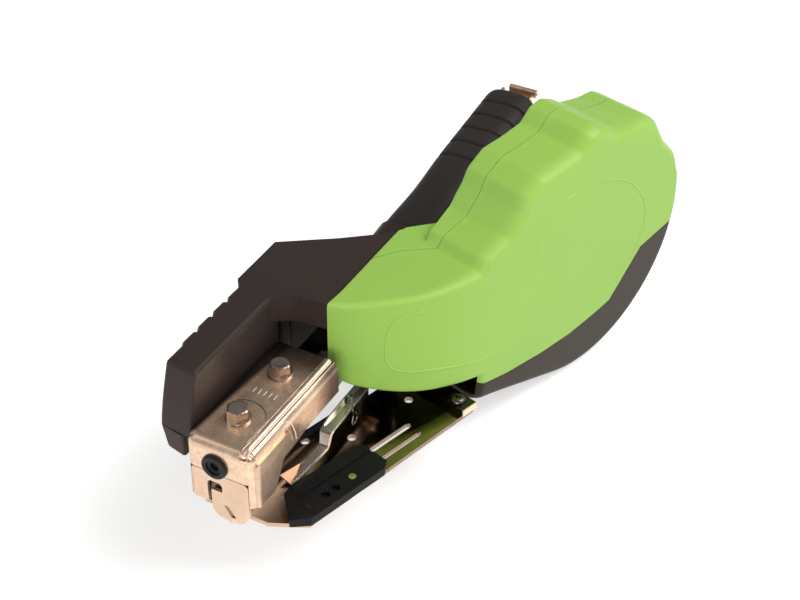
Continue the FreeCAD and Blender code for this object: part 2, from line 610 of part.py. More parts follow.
def cap_guide():
    """The moulded right-hand guide, whose lip hangs over the caps' edge."""
    made = body("cap_guide", PLAN_PLACE)
    top = S.track_thick + S.guide_thick
    pad(made, "XY_Plane", lines(spread(GUIDE_SHARES, S.span)), S.track_thick, top)
    under = box_points(ZERO, -S.guide_lip, S.span, ZERO)
    pocket(made, "XY_Plane", lines(under), ZERO, top - S.guide_under)
    groove = box_points(S.rivet_front + S.overrun, -S.guide_lip - S.guide_groove, S.guide_end, -S.guide_lip)
    pocket(made, "XY_Plane", lines(groove), top - S.guide_groove / 2, top + S.overrun)
    dimples = [circle(x, -S.rivet_side, S.recess_radius) for x in (S.recess_front, S.recess_rear)]
    pocket(made, "XY_Plane", dimples, top - S.recess_depth, top + S.overrun)
    holes = [circle(x, -S.rivet_side, S.rivet_radius + S.fit) for x in (S.rivet_front, S.rivet_rear)]
    pocket(made, "XY_Plane", holes, ZERO, top + S.overrun)
    keep("cap_guide", made)
    rivets = body("guide_rivets", PLAN_PLACE)
    for x in (S.rivet_front, S.rivet_rear):
        pad(rivets, "XY_Plane", [circle(x, -S.rivet_side, S.rivet_radius)], ZERO, top + S.rivet_proud)
    keep("guide_rivets", rivets)


def left_guide():
    made = body("left_guide", PLAN_PLACE)
    edge = S.left_guide_side
    outline = box_points(S.left_guide_front, edge - S.left_guide_width, S.left_guide_end, edge)
    pad(made, "XY_Plane", lines(outline), S.track_thick, S.track_thick + S.left_guide_height)
    keep("left_guide", made)


def feed_lever():
    """The bent strip that presses on the cap strip, its post, its pin and the wire eye on its back."""
    inner = -S.lever_side + S.lever_width
    post = box("lever_post_block", S.lever_pin_reach - S.lever_eye, inner + S.lever_gap, S.track_thick,
               S.lever_pin_reach + S.lever_eye, inner + S.lever_gap + S.post_thick, S.lever_pin_height + S.lever_eye)
    bore = rod("lever_post_bore", (S.lever_pin_reach, -S.lever_side, S.lever_pin_height), "Y",
               S.lever_pin_radius + S.fit, S.lever_side)
    keep("lever_post", cut("lever_post", post, bore))
    pin = rod("lever_pin_rod", (S.lever_pin_reach, -S.lever_side - S.lever_gap, S.lever_pin_height), "Y",
              S.lever_pin_radius, S.lever_width + S.lever_gap * 2 + S.post_thick)
    head = rod("lever_pin_head", (S.lever_pin_reach, -S.lever_side - S.lever_gap - S.washer_thick,
                                  S.lever_pin_height), "Y", S.lever_pin_radius * 1.7, S.washer_thick)
    keep("lever_pin", fuse("lever_pin", pin, head))
    strip = block("lever_strip", "XZ_Plane", lines(spread(LEVER_SHARES, S.span)), -S.lever_side, inner)
    eye = rod("lever_eye_rod", (S.lever_pin_reach, -S.lever_side, S.lever_pin_height), "Y",
              S.lever_eye, S.lever_width)
    hole = rod("lever_hole", (S.lever_pin_reach, -S.lever_side - S.overrun, S.lever_pin_height), "Y",
               S.lever_pin_radius + S.fit, S.lever_side)
    keep("feed_lever", cut("feed_lever", fuse("feed_lever", strip, eye), hole))
    ring = doc.addObject("Part::Torus", "lever_ring")
    bind(ring, "Radius1", S.hook_coil)
    bind(ring, "Radius2", S.wire_radius)
    ring.Placement = Placement(Vector(), Rotation(Vector(1, 0, 0), 90))
    bind(ring, "Placement.Base.x", S.hook_reach)
    bind(ring, "Placement.Base.y", inner - S.lever_width / 2)
    bind(ring, "Placement.Base.z", S.hook_height + S.hook_coil * 2)
    stem = rod("lever_stem", (S.hook_reach, inner - S.lever_width / 2, S.hook_height), "Z",
               S.wire_radius * 0.8, S.hook_coil * 1.1)
    keep("lever_hook", cut("lever_hook", fuse("lever_hook", ring, stem), strip))


# Drive group: the pivot, and the yoke and blade that stay with the housing and drive the staple.
def pivot_pin():
    start = S.cheek_right - S.fit
    made = rod("pivot_pin", (S.pivot_reach, start, S.pivot_height), "Y", S.pivot_radius,
               S.cheek_left + S.cheek_width - start)
    keep("pivot_pin", made)


def driver_yoke():
    """Two bars either side of the bolts, joined at the front, and a tang back to the housing."""
    made = body("driver_yoke")
    outer = S.yoke_half
    inner = S.yoke_half - S.yoke_side
    side = S.drive_side
    pad(made, "XY_Plane", lines(box_points(S.yoke_front, side - outer, S.yoke_rear + S.yoke_bar, side + outer)),
        S.yoke_low, S.yoke_high)
    pocket(made, "XY_Plane",
           lines(box_points(S.yoke_front + S.yoke_bar, side - inner, S.yoke_rear, side + inner)),
           ZERO, S.yoke_high + S.overrun)
    half = S.tang_half
    pad(made, "XY_Plane", lines(box_points(S.yoke_rear, side - half, S.tang_end, side + half)),
        S.yoke_low, S.yoke_high)
    pocket(made, "XY_Plane", [circle(x, side, S.screw_radius + S.fit) for x in (S.tang_front, S.tang_rear)],
           ZERO, S.yoke_high + S.overrun)
    pocket(made, "XY_Plane", [circle(x, side, S.screw_head + S.fit) for x in (S.tang_front, S.tang_rear)],
           ZERO, S.yoke_low + S.screw_head_thick + S.fit)
    keep("driver_yoke", made)
    screws = body("yoke_screws")
    low = S.yoke_low + S.fit
    for x in (S.tang_front, S.tang_rear):
        pad(screws, "XY_Plane", [circle(x, side, S.screw_head)], low, low + S.screw_head_thick)
        pad(screws, "XY_Plane", [circle(x, side, S.screw_radius)], low, S.yoke_high + S.screw_head_thick * 3)
    keep("yoke_screws", screws)


def driver_blade():
    """A strip curved about the pivot, so that it slides down the nose as the nose swings up."""
    made = body("driver_blade")
    outer = float(S.blade_radius)
    inner = outer - float(S.blade_thick)
    centre = (float(S.pivot_reach), float(S.pivot_height))

    def at(radius, height):
        drop = height - centre[1]
        return flat(centre[0] - math.sqrt(radius * radius - drop * drop), height)

    low, high = float(S.blade_low), float(S.yoke_high)
    middle = (low + high) / 2
    edges = [Part.Arc(at(outer, low), at(outer, middle), at(outer, high)),
             Part.LineSegment(at(outer, high), at(inner, high)),
             Part.Arc(at(inner, high), at(inner, middle), at(inner, low)),
             Part.LineSegment(at(inner, low), at(outer, low))]
    half = S.blade_width / 2
    pad(made, "XZ_Plane", edges, S.drive_side - half, S.drive_side + half)
    foot = box("blade_foot", S.yoke_front - S.blade_thick * 2, S.drive_side - half, S.yoke_low,
               S.yoke_front, S.drive_side + half, S.yoke_high)
    outside = rod("blade_outside", (S.pivot_reach, -S.blade_width, S.pivot_height), "Y", S.blade_radius - S.fit,
                  S.blade_width * 3)
    keep("driver_blade", fuse("driver_blade", made, common("blade_foot", foot, outside)))


# Housing: an upper and a lower moulding round the drive, with the fore-shroud beside the nose.
def boss(label, x, y, low, high):
    return rod(label, (x, y, low), "Z", S.boss_radius, high - low)


def main_housing():
    shell = body("main_shell")
    pad(shell, "XY_Plane", lines(spread(BODY_PLAN_SHARES, S.span)), S.shell_seam, S.body_top)
    pocket(shell, "XY_Plane", lines(spread(BODY_ROOM_SHARES, S.span)), ZERO, S.body_top - S.body_wall)
    pocket(shell, "XY_Plane", lines(spread(FRONT_ROOM_SHARES, S.span)), ZERO, S.roof_low)
    shroud = body("shroud_shell")
    pad(shroud, "XY_Plane", lines(spread(SHROUD_SHARES, S.span)), S.shell_seam, S.body_top)
    room = box_points(S.shroud_front + S.body_wall, S.shroud_inner + S.shroud_wall, S.shroud_end,
                      S.shroud_outer - S.shroud_wall * 1.4)
    pocket(shroud, "XY_Plane", lines(room), ZERO, S.body_top - S.body_wall)
    lean = block("shroud_lean", "XZ_Plane", lines([
        (ZERO, S.body_top + S.overrun), (S.shroud_front + S.shroud_nose, S.body_top + S.overrun),
        (S.shroud_front, S.body_top - S.shroud_nose), (S.shroud_front, S.shell_seam), (ZERO, S.shell_seam)]),
        ZERO, S.body_left)
    anchor = box("yoke_anchor", S.anchor_front, -S.wedge_side + S.body_wall / 2, S.yoke_high,
                 S.tang_end, S.anchor_left, S.body_top - S.body_wall / 2)
    neck = block("neck_plan", "XY_Plane", lines(spread(NECK_PLAN_SHARES, S.span)), S.neck_low, S.neck_high)
    collar = box("neck_collar", S.neck_start + S.overrun, -S.neck_right, -S.neck_half, S.handle_start, S.neck_half,
                 S.neck_half, HANDLE_PLACE)
    bosses = [boss(f"main_boss{n}", x, S.boss_side, S.shell_seam, S.body_top - S.body_wall / 2)
              for n, x in enumerate((S.boss_front, S.boss_rear))]
    solid = fuse("main_housing", cut("shroud", shroud, lean), shell, anchor, neck, collar, *bosses)
    tools = [core_room("main_core_room", S.core_start - S.fit, S.handle_start + S.overrun)]
    tools += [rod(f"main_bore{n}", (x, S.boss_side, S.shell_seam - S.overrun), "Z", S.bore_radius,
                  S.boss_bite + S.overrun) for n, x in enumerate((S.boss_front, S.boss_rear))]
    tools += [rod(f"anchor_bore{n}", (x, S.drive_side, S.yoke_high - S.overrun), "Z", S.screw_radius + S.fit,
                  S.screw_head_thick * 3 + S.overrun + S.fit) for n, x in enumerate((S.tang_front, S.tang_rear))]
    tools += [rod(f"wall_bore{n}", (S.flange_screw_reach, -S.wedge_side - S.overrun, z), "Y", S.bore_radius,
                  S.overrun + S.body_wall * 2) for n, z in enumerate((S.flange_screw_low, S.flange_screw_high))]
    keep("main_housing", cut("main_housing", solid, *tools))


def core_room(label, start, end):
    """The room that the handle's steel core takes, grown by the fit."""
    half = S.core_width / 2 + S.fit
    made = body(label, HANDLE_PLACE)
    low = -S.core_drop - S.core_height / 2 - S.fit
    pad(made, "YZ_Plane", lines(box_points(-half, low, half, low + S.core_height + S.fit * 2)), start, end)
    return made


def lower_housing():
    shell = body("lower_shell")
    top = S.shell_seam - S.seam
    pad(shell, "XY_Plane", lines(spread(LOWER_PLAN_SHARES, S.span)), ZERO, top)
    cap = box("shroud_cap", S.shroud_front - S.shroud_lean, S.lower_side, S.shroud_low, S.shroud_end + S.soft * 3,
              S.shroud_outer + S.shroud_flare * 0.6, top)
    room = box("shroud_cap_room", S.shroud_front, S.lower_side + S.shroud_wall, S.shroud_low + S.shroud_wall,
               S.shroud_end - S.shroud_wall, S.shroud_outer, S.shell_seam + S.overrun)
    cheek = box("left_cheek", S.pivot_reach - S.cheek_reach, S.cheek_left, S.cheek_low, S.pivot_reach + S.ear_reach,
                S.cheek_left + S.cheek_width, S.neck_low - S.seam)
    bosses = [boss(f"lower_boss{n}", x, S.boss_side, S.boss_low, top)
              for n, x in enumerate((S.boss_front, S.boss_rear))]
    solid = fuse("lower_housing", shell, cut("shroud_cap", cap, room), cheek, *bosses)
    far = S.neck_start + S.overrun * 2
    window = box("lower_window", S.pivot_reach - S.ear_reach, -S.lower_gap, S.cheek_low,
                 far, S.cheek_left - S.fit, S.neck_low)
    neck = box("lower_neck_room", S.pivot_reach - S.ear_reach + S.window_step, -S.lower_gap - S.overrun,
               S.neck_low - S.seam, far, S.neck_half + S.drive_side + S.seam, S.shell_seam + S.overrun)
    tools = [rod(f"lower_bore{n}", (x, S.boss_side, ZERO), "Z", S.bore_radius, S.shell_seam)
             for n, x in enumerate((S.boss_front, S.boss_rear))]
    pin = rod("cheek_bore", (S.pivot_reach, S.cheek_right - S.overrun, S.pivot_height), "Y",
              S.pivot_radius + S.fit, S.cheek_left * 3)
    keep("lower_housing", cut("lower_housing", solid, window, neck, pin, *tools))


def housing_screws():
    made = body("housing_screws")
    for x in (S.boss_front, S.boss_rear):
        pad(made, "XY_Plane", [circle(x, S.boss_side, S.boss_head)], S.boss_low - S.screw_head_thick, S.boss_low)
        pad(made, "XY_Plane", [circle(x, S.boss_side, S.bore_radius - S.fit)], S.boss_low,
            S.shell_seam + S.boss_bite - S.fit)
    keep("housing_screws", made)
    flange = []
    for number, z in enumerate((S.flange_screw_low, S.flange_screw_high)):
        inner = -S.wedge_side + S.body_wall
        flange.append(rod(f"flange_screw{number}", (S.flange_screw_reach, -S.wedge_side - S.flange_thick, z), "Y",
                          S.bore_radius - S.fit, S.flange_thick + S.body_wall))
        flange.append(rod(f"flange_head{number}", (S.flange_screw_reach, inner, z), "Y", S.screw_head,
                          S.screw_head_thick))
    keep("magazine_screws", fuse("magazine_screws", *flange))


# Handle: a steel core inside a moulded shell, a ribbed sleeve, and a steel end with a swinging latch.
def handle_core():
    made = body("handle_core", HANDLE_PLACE)
    half = S.core_width / 2
    low = -S.core_drop - S.core_height / 2
    pad(made, "YZ_Plane", lines(box_points(-half, low, half, low + S.core_height)), S.core_start, S.handle_end)
    inner = half - S.core_wall
    pocket(made, "YZ_Plane", lines(box_points(-inner, low + S.core_wall, inner, low + S.core_height - S.core_wall)),
           ZERO, S.handle_end + S.overrun)
    keep("handle_core", made)


def oval(half, tall, corner):
    return rounded([(-half, -tall, corner), (half, -tall, corner), (half, tall, corner), (-half, tall, corner)])


def handle_shell():
    made = body("handle_tube", HANDLE_PLACE)
    thick = S.grip_thick
    pad(made, "YZ_Plane", oval(S.handle_half, S.handle_tall, S.handle_corner), S.handle_start, S.grip_start)
    pad(made, "YZ_Plane", oval(S.handle_half - thick, S.handle_tall - thick, S.handle_corner - thick),
        S.grip_start, S.handle_end)
    keep("handle_shell", cut("handle_shell", made, core_room("handle_core_room", ZERO, S.handle_end + S.overrun)))


def grip_sleeve():
    made = body("grip_sleeve", HANDLE_PLACE)
    thick = S.grip_thick - S.fit
    pad(made, "YZ_Plane", oval(S.handle_half, S.handle_tall, S.handle_corner), S.grip_start + S.fit, S.handle_end)
    pocket(made, "YZ_Plane", oval(S.handle_half - thick, S.handle_tall - thick, S.handle_corner - thick),
           ZERO, S.handle_end + S.overrun)
    deep = S.rib_depth
    for step in range(RIB_COUNT):
        middle = S.rib_first - S.rib_pitch * step
        ring = oval(S.handle_half + S.overrun, S.handle_tall + S.overrun, S.handle_corner)
        ring += oval(S.handle_half - deep, S.handle_tall - deep, S.handle_corner - deep)
        pocket(made, "YZ_Plane", ring, middle, middle + S.rib_width)
    keep("grip_sleeve", made)


def handle_end():
    """The steel cap on the handle's end, its two lugs, the latch and its pin."""
    made = body("end_plate", HANDLE_PLACE)
    start = S.handle_end
    end = start + S.end_plate_thick
    pad(made, "YZ_Plane", oval(S.end_plate_half, S.end_plate_tall, S.end_pin_radius * 2), start, end)
    axis = end + S.end_latch_reach
    lug = box_points(end - S.end_plate_thick, S.end_pin_height - S.end_pin_radius * 2,
                     axis + S.end_pin_radius * 2, S.end_pin_height + S.end_pin_radius * 1.6)
    half = S.end_latch_width / 2 + S.seam
    for low in (-half - S.end_latch_thick, half):
        pad(made, "XZ_Plane", lines(lug), low, low + S.end_latch_thick)
    pocket(made, "XZ_Plane", [circle(axis, S.end_pin_height, S.end_pin_radius + S.fit)],
           -S.end_plate_half, S.end_plate_half)
    keep("end_plate", made)
    latch = body("end_latch", HANDLE_PLACE)
    wide = S.end_latch_width / 2
    pad(latch, "XZ_Plane", [circle(axis, S.end_pin_height, S.end_pin_radius * 1.8)], -wide, wide)
    flat_part = box_points(axis, S.end_pin_height - S.end_latch_drop, axis + S.end_latch_thick, S.end_pin_height)
    pad(latch, "XZ_Plane", lines(flat_part), -wide, wide)
    pocket(latch, "XZ_Plane", [circle(axis, S.end_pin_height, S.end_pin_radius + S.fit)],
           -S.end_plate_half, S.end_plate_half)
    keep("end_latch", latch)
    pin = body("end_latch_pin", HANDLE_PLACE)
    pad(pin, "XZ_Plane", [circle(axis, S.end_pin_height, S.end_pin_radius)],
        -half - S.end_latch_thick, half + S.end_latch_thick)
    keep("end_latch_pin", pin)


# Magazine: a drum of moulded shell beside the handle, with a wedge forward over the cap track.
def drum_point(degrees, radius):
    turn = math.radians(degrees)
    return (float(S.drum_reach) + radius * math.cos(turn), float(S.drum_height) + radius * math.sin(turn))


def drum_corners(inward):
    """The outline's straight corners, moved inward, from the rim's front over the top to its rear."""
    radius = float(S.drum_radius)
    front = spread(FRONT_EDGE_SHARES, S.span)
    top = [(float(S.drum_front), float(S.body_top))]
    crown = [drum_point(angle, radius * share) for angle, share in DRUM_CORNER_SHARES]
    ring = [drum_point(DRUM_TANGENT_DEGREES, radius)] + front + top + crown
    if not inward:
        return ring
    result = [drum_point(DRUM_TANGENT_DEGREES, radius - inward)]
    for before, corner, after in zip(ring, ring[1:], ring[2:]):
        one = Vector(corner[0] - before[0], corner[1] - before[1], 0).normalize()
        two = Vector(after[0] - corner[0], after[1] - corner[1], 0).normalize()
        normal = Vector(one.y + two.y, -one.x - two.x, 0).normalize()
        size = inward / max(normal.dot(Vector(one.y, -one.x, 0)), 0.5)
        result.append((corner[0] + normal.x * size, corner[1] + normal.y * size))
    result.append(drum_point(DRUM_CORNER_SHARES[-1][0], radius - inward))
    return result


def drum_outline(inward=0):
    """Straight facets, closed round the rear by one arc about the drum's axis."""
    corners = drum_corners(float(inward))
    spots = [flat(*corner) for corner in corners]
    edges = [Part.LineSegment(a, b) for a, b in zip(spots, spots[1:])]
    radius = float(S.drum_radius) - float(inward)
    edges.append(Part.Arc(spots[-1], flat(*drum_point(-50.0, radius)), spots[0]))
    return edges


def plan_front(inward):
    """The wedge's curved front in plan, moved inward."""
    curve = spread(PLAN_LINE_SHARES, S.span)
    result = []
    for index, corner in enumerate(curve):
        before = curve[max(index - 1, 0)]
        after = curve[min(index + 1, len(curve) - 1)]
        way = Vector(after[0] - before[0], after[1] - before[1], 0).normalize()
        result.append((corner[0] - way.y * inward, corner[1] + way.x * inward))
    return result


def magazine_plan():
    """The outer plan: curved front, flat face, inner face, and the line beside the main housing."""
    rear = S.drum_reach + S.drum_radius + S.overrun
    face = float(S.drum_inner)
    near = along(S.wedge_rear, -S.wedge_side)
    start = along(S.drum_front + S.drum_front_shift, -S.wedge_side)
    return plan_front(0) + [(rear, -S.drum_outer), (rear, face), (S.wedge_end, face), near, start]


def magazine_room():
    """The inner plan: the same inside the walls, but open towards the main housing."""
    wall = float(S.drum_wall)
    rear = S.drum_reach + S.drum_radius
    face = S.drum_inner - S.drum_wall
    front = plan_front(wall)
    front[0] = (float(S.drum_front), front[0][1])
    side = S.drum_radius
    return front + [(rear, S.drum_wall - S.drum_outer), (rear, face), (S.wedge_end - S.fit, face),
                    (S.room_end, S.room_end_side), (S.room_end, side), (S.drum_front - S.overrun * 2, side),
                    (S.drum_front - S.overrun * 2, front[0][1])]


def magazine_shell():
    profile = block("drum_profile", "XZ_Plane", drum_outline(), S.shoulder - S.drum_outer, S.drum_inner * 2,
                    PLAN_PLACE)
    rim = section("drum_rim", ZERO, S.shoulder - S.drum_outer)
    lip = section("drum_lip", S.shoulder_depth, -S.drum_outer)
    loft = doc.addObject("Part::Loft", "drum_shoulder")
    loft.Sections = [rim, lip]
    loft.Solid = True
    loft.Ruled = True
    loft.Placement = PLAN_PLACE
    plan_block = block("magazine_plan", "XY_Plane", lines([(float(x), float(y)) for x, y in magazine_plan()]),
                       -S.drum_radius, S.drum_radius * 2, PLAN_PLACE)
    outer = common("magazine_outer", fuse("magazine_outer", profile, loft), plan_block)
    room_points = [(float(x), float(y)) for x, y in magazine_room()]
    room_plan = block("magazine_room", "XY_Plane", lines(room_points), -S.drum_radius, S.drum_radius * 2, PLAN_PLACE)
    step = S.drum_wall + S.shoulder_step - S.drum_outer
    hollow = block("drum_hollow", "XZ_Plane", drum_outline(S.drum_wall), step, S.drum_radius, PLAN_PLACE)
    deep = block("drum_deep", "XZ_Plane", drum_outline(S.drum_wall * 2), -S.drum_outer, step, PLAN_PLACE)
    room = common("magazine_hollow", fuse("drum_room", hollow, deep), room_plan)
    below = box("wedge_below", S.drum_front - S.overrun * 2, -S.drum_outer - S.overrun, -S.drum_radius,
                S.room_end, S.drum_radius, S.body_top - S.drum_wall, PLAN_PLACE)
    mouth = box("cap_mouth", S.room_end - S.overrun, S.drum_wall - S.drum_outer, -S.mouth_low,
                S.room_end + S.overrun * 2, S.drum_inner - S.drum_wall, S.mouth_high, PLAN_PLACE)
    return cut("magazine_shell", outer, room, common("wedge_below", below, room_plan), mouth)


def section(label, inward, side):
    """One outline of the magazine, standing across the drum's axis."""
    made = doc.addObject("Sketcher::SketchObject", label)
    made.Placement = Placement(Vector(), Rotation(Vector(1, 0, 0), 90))
    for edge in drum_outline(inward):
        made.addGeometry(edge, False)
    bind(made, "Placement.Base.y", side)
    return made


def regions():
    """The four volumes that share the magazine out: door or base, and above or below the colour line."""
    radius = float(S.drum_radius)
    gap = float(S.seam) / 2
    line = spread(SHELL_LINE_SHARES, S.span)
    deep = radius * 1.2
    over = [(x, z + gap) for x, z in line]
    under = [(x, z - gap) for x, z in line]
    left, right = line[0][0], line[-1][0]
    above_points = [(float(S.drum_front) - radius, -deep), (left - gap, -deep)] + over
    above_points += [(right, radius * 2), (float(S.drum_front) - radius, radius * 2)]
    above_points[1] = (left, -deep)
    below_points = [(left + gap, -deep)] + under + [(right, -deep)]
    door_line = spread(DOOR_SHARES, S.span)
    rear = float(S.drum_reach) + radius * 1.2
    door = [(x, k - gap) for x, k in door_line]
    base = [(x, k + gap) for x, k in door_line]
    door[0] = (door[0][0] - gap, door[0][1])
    base[0] = (base[0][0] + gap, base[0][1])
    near = float(S.drum_front) - radius
    door_points = [(near, -deep), (rear, -deep)] + door[::-1]
    edge = along(door[0][0] + float(S.wedge_gap_shift), -S.wedge_side - S.seam)
    front_edge = along(near + radius * 0.9, -S.wedge_side - S.seam)
    door_points += [(door[0][0], edge[1]), (near, front_edge[1])]
    base_points = base + [(rear, deep), (base[0][0], deep)]
    span = (-S.drum_radius * 2, S.drum_radius * 2)
    shapes = {
        "above": ("XZ_Plane", above_points), "below": ("XZ_Plane", below_points),
        "door": ("XY_Plane", door_points), "base": ("XY_Plane", base_points),
    }
    return {name: block("region_" + name, role, lines(points), *span, PLAN_PLACE)
            for name, (role, points) in shapes.items()}


def magazine():
    shell = magazine_shell()
    zone = regions()
    door = common("door_shell", shell, zone["door"])
    base = common("base_shell", shell, zone["base"])
    knuckle = box("door_arm", hinge_line() - S.hinge_arm, S.drum_split - S.hinge_radius - S.hinge_pin, S.hinge_mid_low,
                  hinge_line(), S.drum_split - S.seam, S.hinge_mid_high, PLAN_PLACE)
    post = hinge_rod("door_knuckle", S.hinge_radius, S.hinge_mid_low, S.hinge_mid_high)
    bore = hinge_rod("door_bore", S.hinge_pin + S.fit, S.hinge_low - S.overrun, S.hinge_high + S.overrun)
    green = fuse("magazine_cover", common("door_green", door, zone["above"]), knuckle, post)
    keep("magazine_cover", cut("magazine_cover", green, bore))
    keep("cover_lower", common("cover_lower", door, zone["below"]))
    pieces = [common("base_green", base, zone["above"])]
    for number, (low, high) in enumerate(((S.hinge_low, S.hinge_mid_low - S.seam),
                                          (S.hinge_mid_high + S.seam, S.hinge_high))):
        pieces.append(box(f"base_arm{number}", hinge_line() - S.hinge_arm, S.drum_split + S.seam, low,
                          hinge_line(), S.drum_split + S.hinge_radius + S.hinge_pin, high, PLAN_PLACE))
        pieces.append(hinge_rod(f"base_knuckle{number}", S.hinge_radius, low, high))
    pieces.append(box("base_flange", S.flange_front, -S.wedge_side - S.flange_thick, S.shell_seam, S.flange_end,
                      -S.wedge_side, S.body_top - S.drum_wall / 2))
    for number, z in enumerate((S.latch_height - S.latch_half, S.latch_height + S.latch_half - S.latch_rail)):
        pieces.append(box(f"latch_rail{number}", S.latch_reach - S.latch_length, S.drum_inner - S.drum_wall / 2, z,
                          S.latch_reach + S.latch_length, S.drum_inner + S.latch_thick, z + S.latch_rail, PLAN_PLACE))
    holes = [rod(f"flange_bore{n}", (S.flange_screw_reach, -S.wedge_side - S.overrun, z), "Y", S.bore_radius,
                 S.overrun * 2) for n, z in enumerate((S.flange_screw_low, S.flange_screw_high))]
    pin_room = hinge_rod("base_bore", S.hinge_pin + S.fit, S.hinge_low - S.overrun, S.hinge_high + S.overrun)
    keep("magazine_base", cut("magazine_base", fuse("magazine_base", *pieces), pin_room, *holes))
    keep("magazine_lower", common("magazine_lower", base, zone["below"]))


def hinge_line():
    """Where the door's hinge stands behind the drum."""
    return S.drum_reach + S.drum_radius + S.hinge_radius + S.hinge_gap


def hinge_rod(label, radius, low, high):
    made = block(label, "XY_Plane", [circle(hinge_line(), S.drum_split, radius)], low, high, PLAN_PLACE)
    return made


def hinge_and_latch():
    keep("cover_hinge_pin", hinge_rod("cover_hinge_pin", S.hinge_pin, S.hinge_low, S.hinge_high))
    made = body("cover_latch", PLAN_PLACE)
    half = S.latch_half - S.latch_rail - S.fit
    pad(made, "XY_Plane", lines(box_points(S.latch_reach - S.latch_length / 2, S.drum_inner + S.fit,
                                           S.latch_reach + S.latch_length / 2, S.drum_inner + S.latch_thick)),
        S.latch_height - half, S.latch_height + half)
    pad(made, "XY_Plane", lines(box_points(S.latch_reach - S.latch_knob / 2, S.drum_inner + S.latch_thick,
                                           S.latch_reach + S.latch_knob / 2, S.drum_inner + S.latch_depth)),
        S.latch_height - half / 2, S.latch_height + half / 2)
    keep("cover_latch", made)


def reel():
    """The axle on the magazine's inner wall, and the hub and flange that the cap coil turns on."""
    inner = S.drum_inner - S.drum_wall
    near = S.drum_wall + S.free + S.reel_flange_thick - S.drum_outer
    axle = body("reel_axle", PLAN_PLACE)
    centre = (S.drum_reach, S.drum_height)
    pad(axle, "XZ_Plane", [circle(*centre, S.axle_radius)], near - S.reel_flange_thick, inner)
    pad(axle, "XZ_Plane", [circle(*centre, S.axle_radius * 1.3)], near - S.reel_flange_thick, near - S.seam)
    keep("reel_axle", axle)
    hub = body("cap_reel", PLAN_PLACE)
    pad(hub, "XZ_Plane", [circle(*centre, S.reel_hub)], near, inner - S.free)
    pad(hub, "XZ_Plane", [circle(*centre, S.reel_flange)], inner - S.free - S.reel_flange_thick, inner - S.free)
    pocket(hub, "XZ_Plane", [circle(*centre, S.reel_bore)], -S.drum_radius, S.drum_radius)
    windows = []
    for step in range(6):
        turn = math.radians(60 * step + 30)
        reach = float(S.reel_hub + S.reel_flange) / 2
        windows.append(circle(S.drum_reach + reach * math.cos(turn), S.drum_height + reach * math.sin(turn),
                              S.hub_window))
    pocket(hub, "XZ_Plane", windows, inner - S.overrun, inner)
    keep("cap_reel", hub)


for make in (nose_housing, side_plate, nose_plate, nose_plug, nose_bolts, rail_hanger, staple_rail, staple_pusher,
             pusher_rod, springs, base_plate, side_strap, rear_bracket, cap_guide, left_guide, feed_lever,
             pivot_pin, driver_yoke, driver_blade, main_housing, lower_housing, housing_screws, handle_core,
             handle_shell, grip_sleeve, handle_end, magazine, hinge_and_latch, reel):
    make()
doc.recompute()

bad = []
for thing in doc.Objects:
    if "Invalid" in thing.State or "Error" in thing.State:
        bad.append(f"{thing.Name} ({thing.Label}) {thing.State}")
for label, thing in parts.items():
    shape = thing.Shape
    if shape.isNull() or not shape.isValid() or not shape.Solids:
        bad.append(f"{label} has no sound shape")
if bad:
    raise RuntimeError("not built: " + "; ".join(bad))

os.makedirs("parts", exist_ok=True)
for label, thing in parts.items():
    thing.Shape.exportStep(f"parts/{label}.step")
    box_text = [[round(v, 1) for v in (k.BoundBox.XMin, k.BoundBox.YMin, k.BoundBox.ZMin, k.BoundBox.XMax,
                                       k.BoundBox.YMax, k.BoundBox.ZMax)] for k in thing.Shape.Solids]
    print(label, len(thing.Shape.Solids), round(thing.Shape.Volume), box_text if len(box_text) > 1 else "")
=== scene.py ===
import bmesh
import bpy
import json
import math
from mathutils import Matrix, Vector

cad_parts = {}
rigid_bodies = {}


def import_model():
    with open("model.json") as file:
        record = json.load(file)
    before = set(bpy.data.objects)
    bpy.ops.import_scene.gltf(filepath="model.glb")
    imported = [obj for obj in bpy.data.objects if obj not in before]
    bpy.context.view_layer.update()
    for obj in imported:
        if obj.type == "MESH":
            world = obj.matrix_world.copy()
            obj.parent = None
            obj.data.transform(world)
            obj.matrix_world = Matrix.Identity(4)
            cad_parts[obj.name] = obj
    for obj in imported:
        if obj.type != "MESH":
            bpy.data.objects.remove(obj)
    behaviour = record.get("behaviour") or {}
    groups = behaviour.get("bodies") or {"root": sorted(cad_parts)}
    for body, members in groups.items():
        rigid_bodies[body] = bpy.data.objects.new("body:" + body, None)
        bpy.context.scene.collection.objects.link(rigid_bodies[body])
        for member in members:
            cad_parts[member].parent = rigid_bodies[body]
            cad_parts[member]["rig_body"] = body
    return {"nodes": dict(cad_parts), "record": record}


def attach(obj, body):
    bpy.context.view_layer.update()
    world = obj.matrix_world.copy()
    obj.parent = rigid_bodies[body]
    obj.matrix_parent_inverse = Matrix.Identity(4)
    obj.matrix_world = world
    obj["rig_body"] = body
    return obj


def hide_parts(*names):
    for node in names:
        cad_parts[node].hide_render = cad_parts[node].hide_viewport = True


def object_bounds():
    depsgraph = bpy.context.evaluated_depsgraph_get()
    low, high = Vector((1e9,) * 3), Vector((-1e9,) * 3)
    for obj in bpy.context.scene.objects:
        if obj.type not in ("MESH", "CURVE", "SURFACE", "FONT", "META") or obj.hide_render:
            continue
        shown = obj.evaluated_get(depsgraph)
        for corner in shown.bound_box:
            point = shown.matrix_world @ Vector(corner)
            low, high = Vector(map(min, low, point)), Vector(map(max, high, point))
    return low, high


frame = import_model()
cad_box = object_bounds()

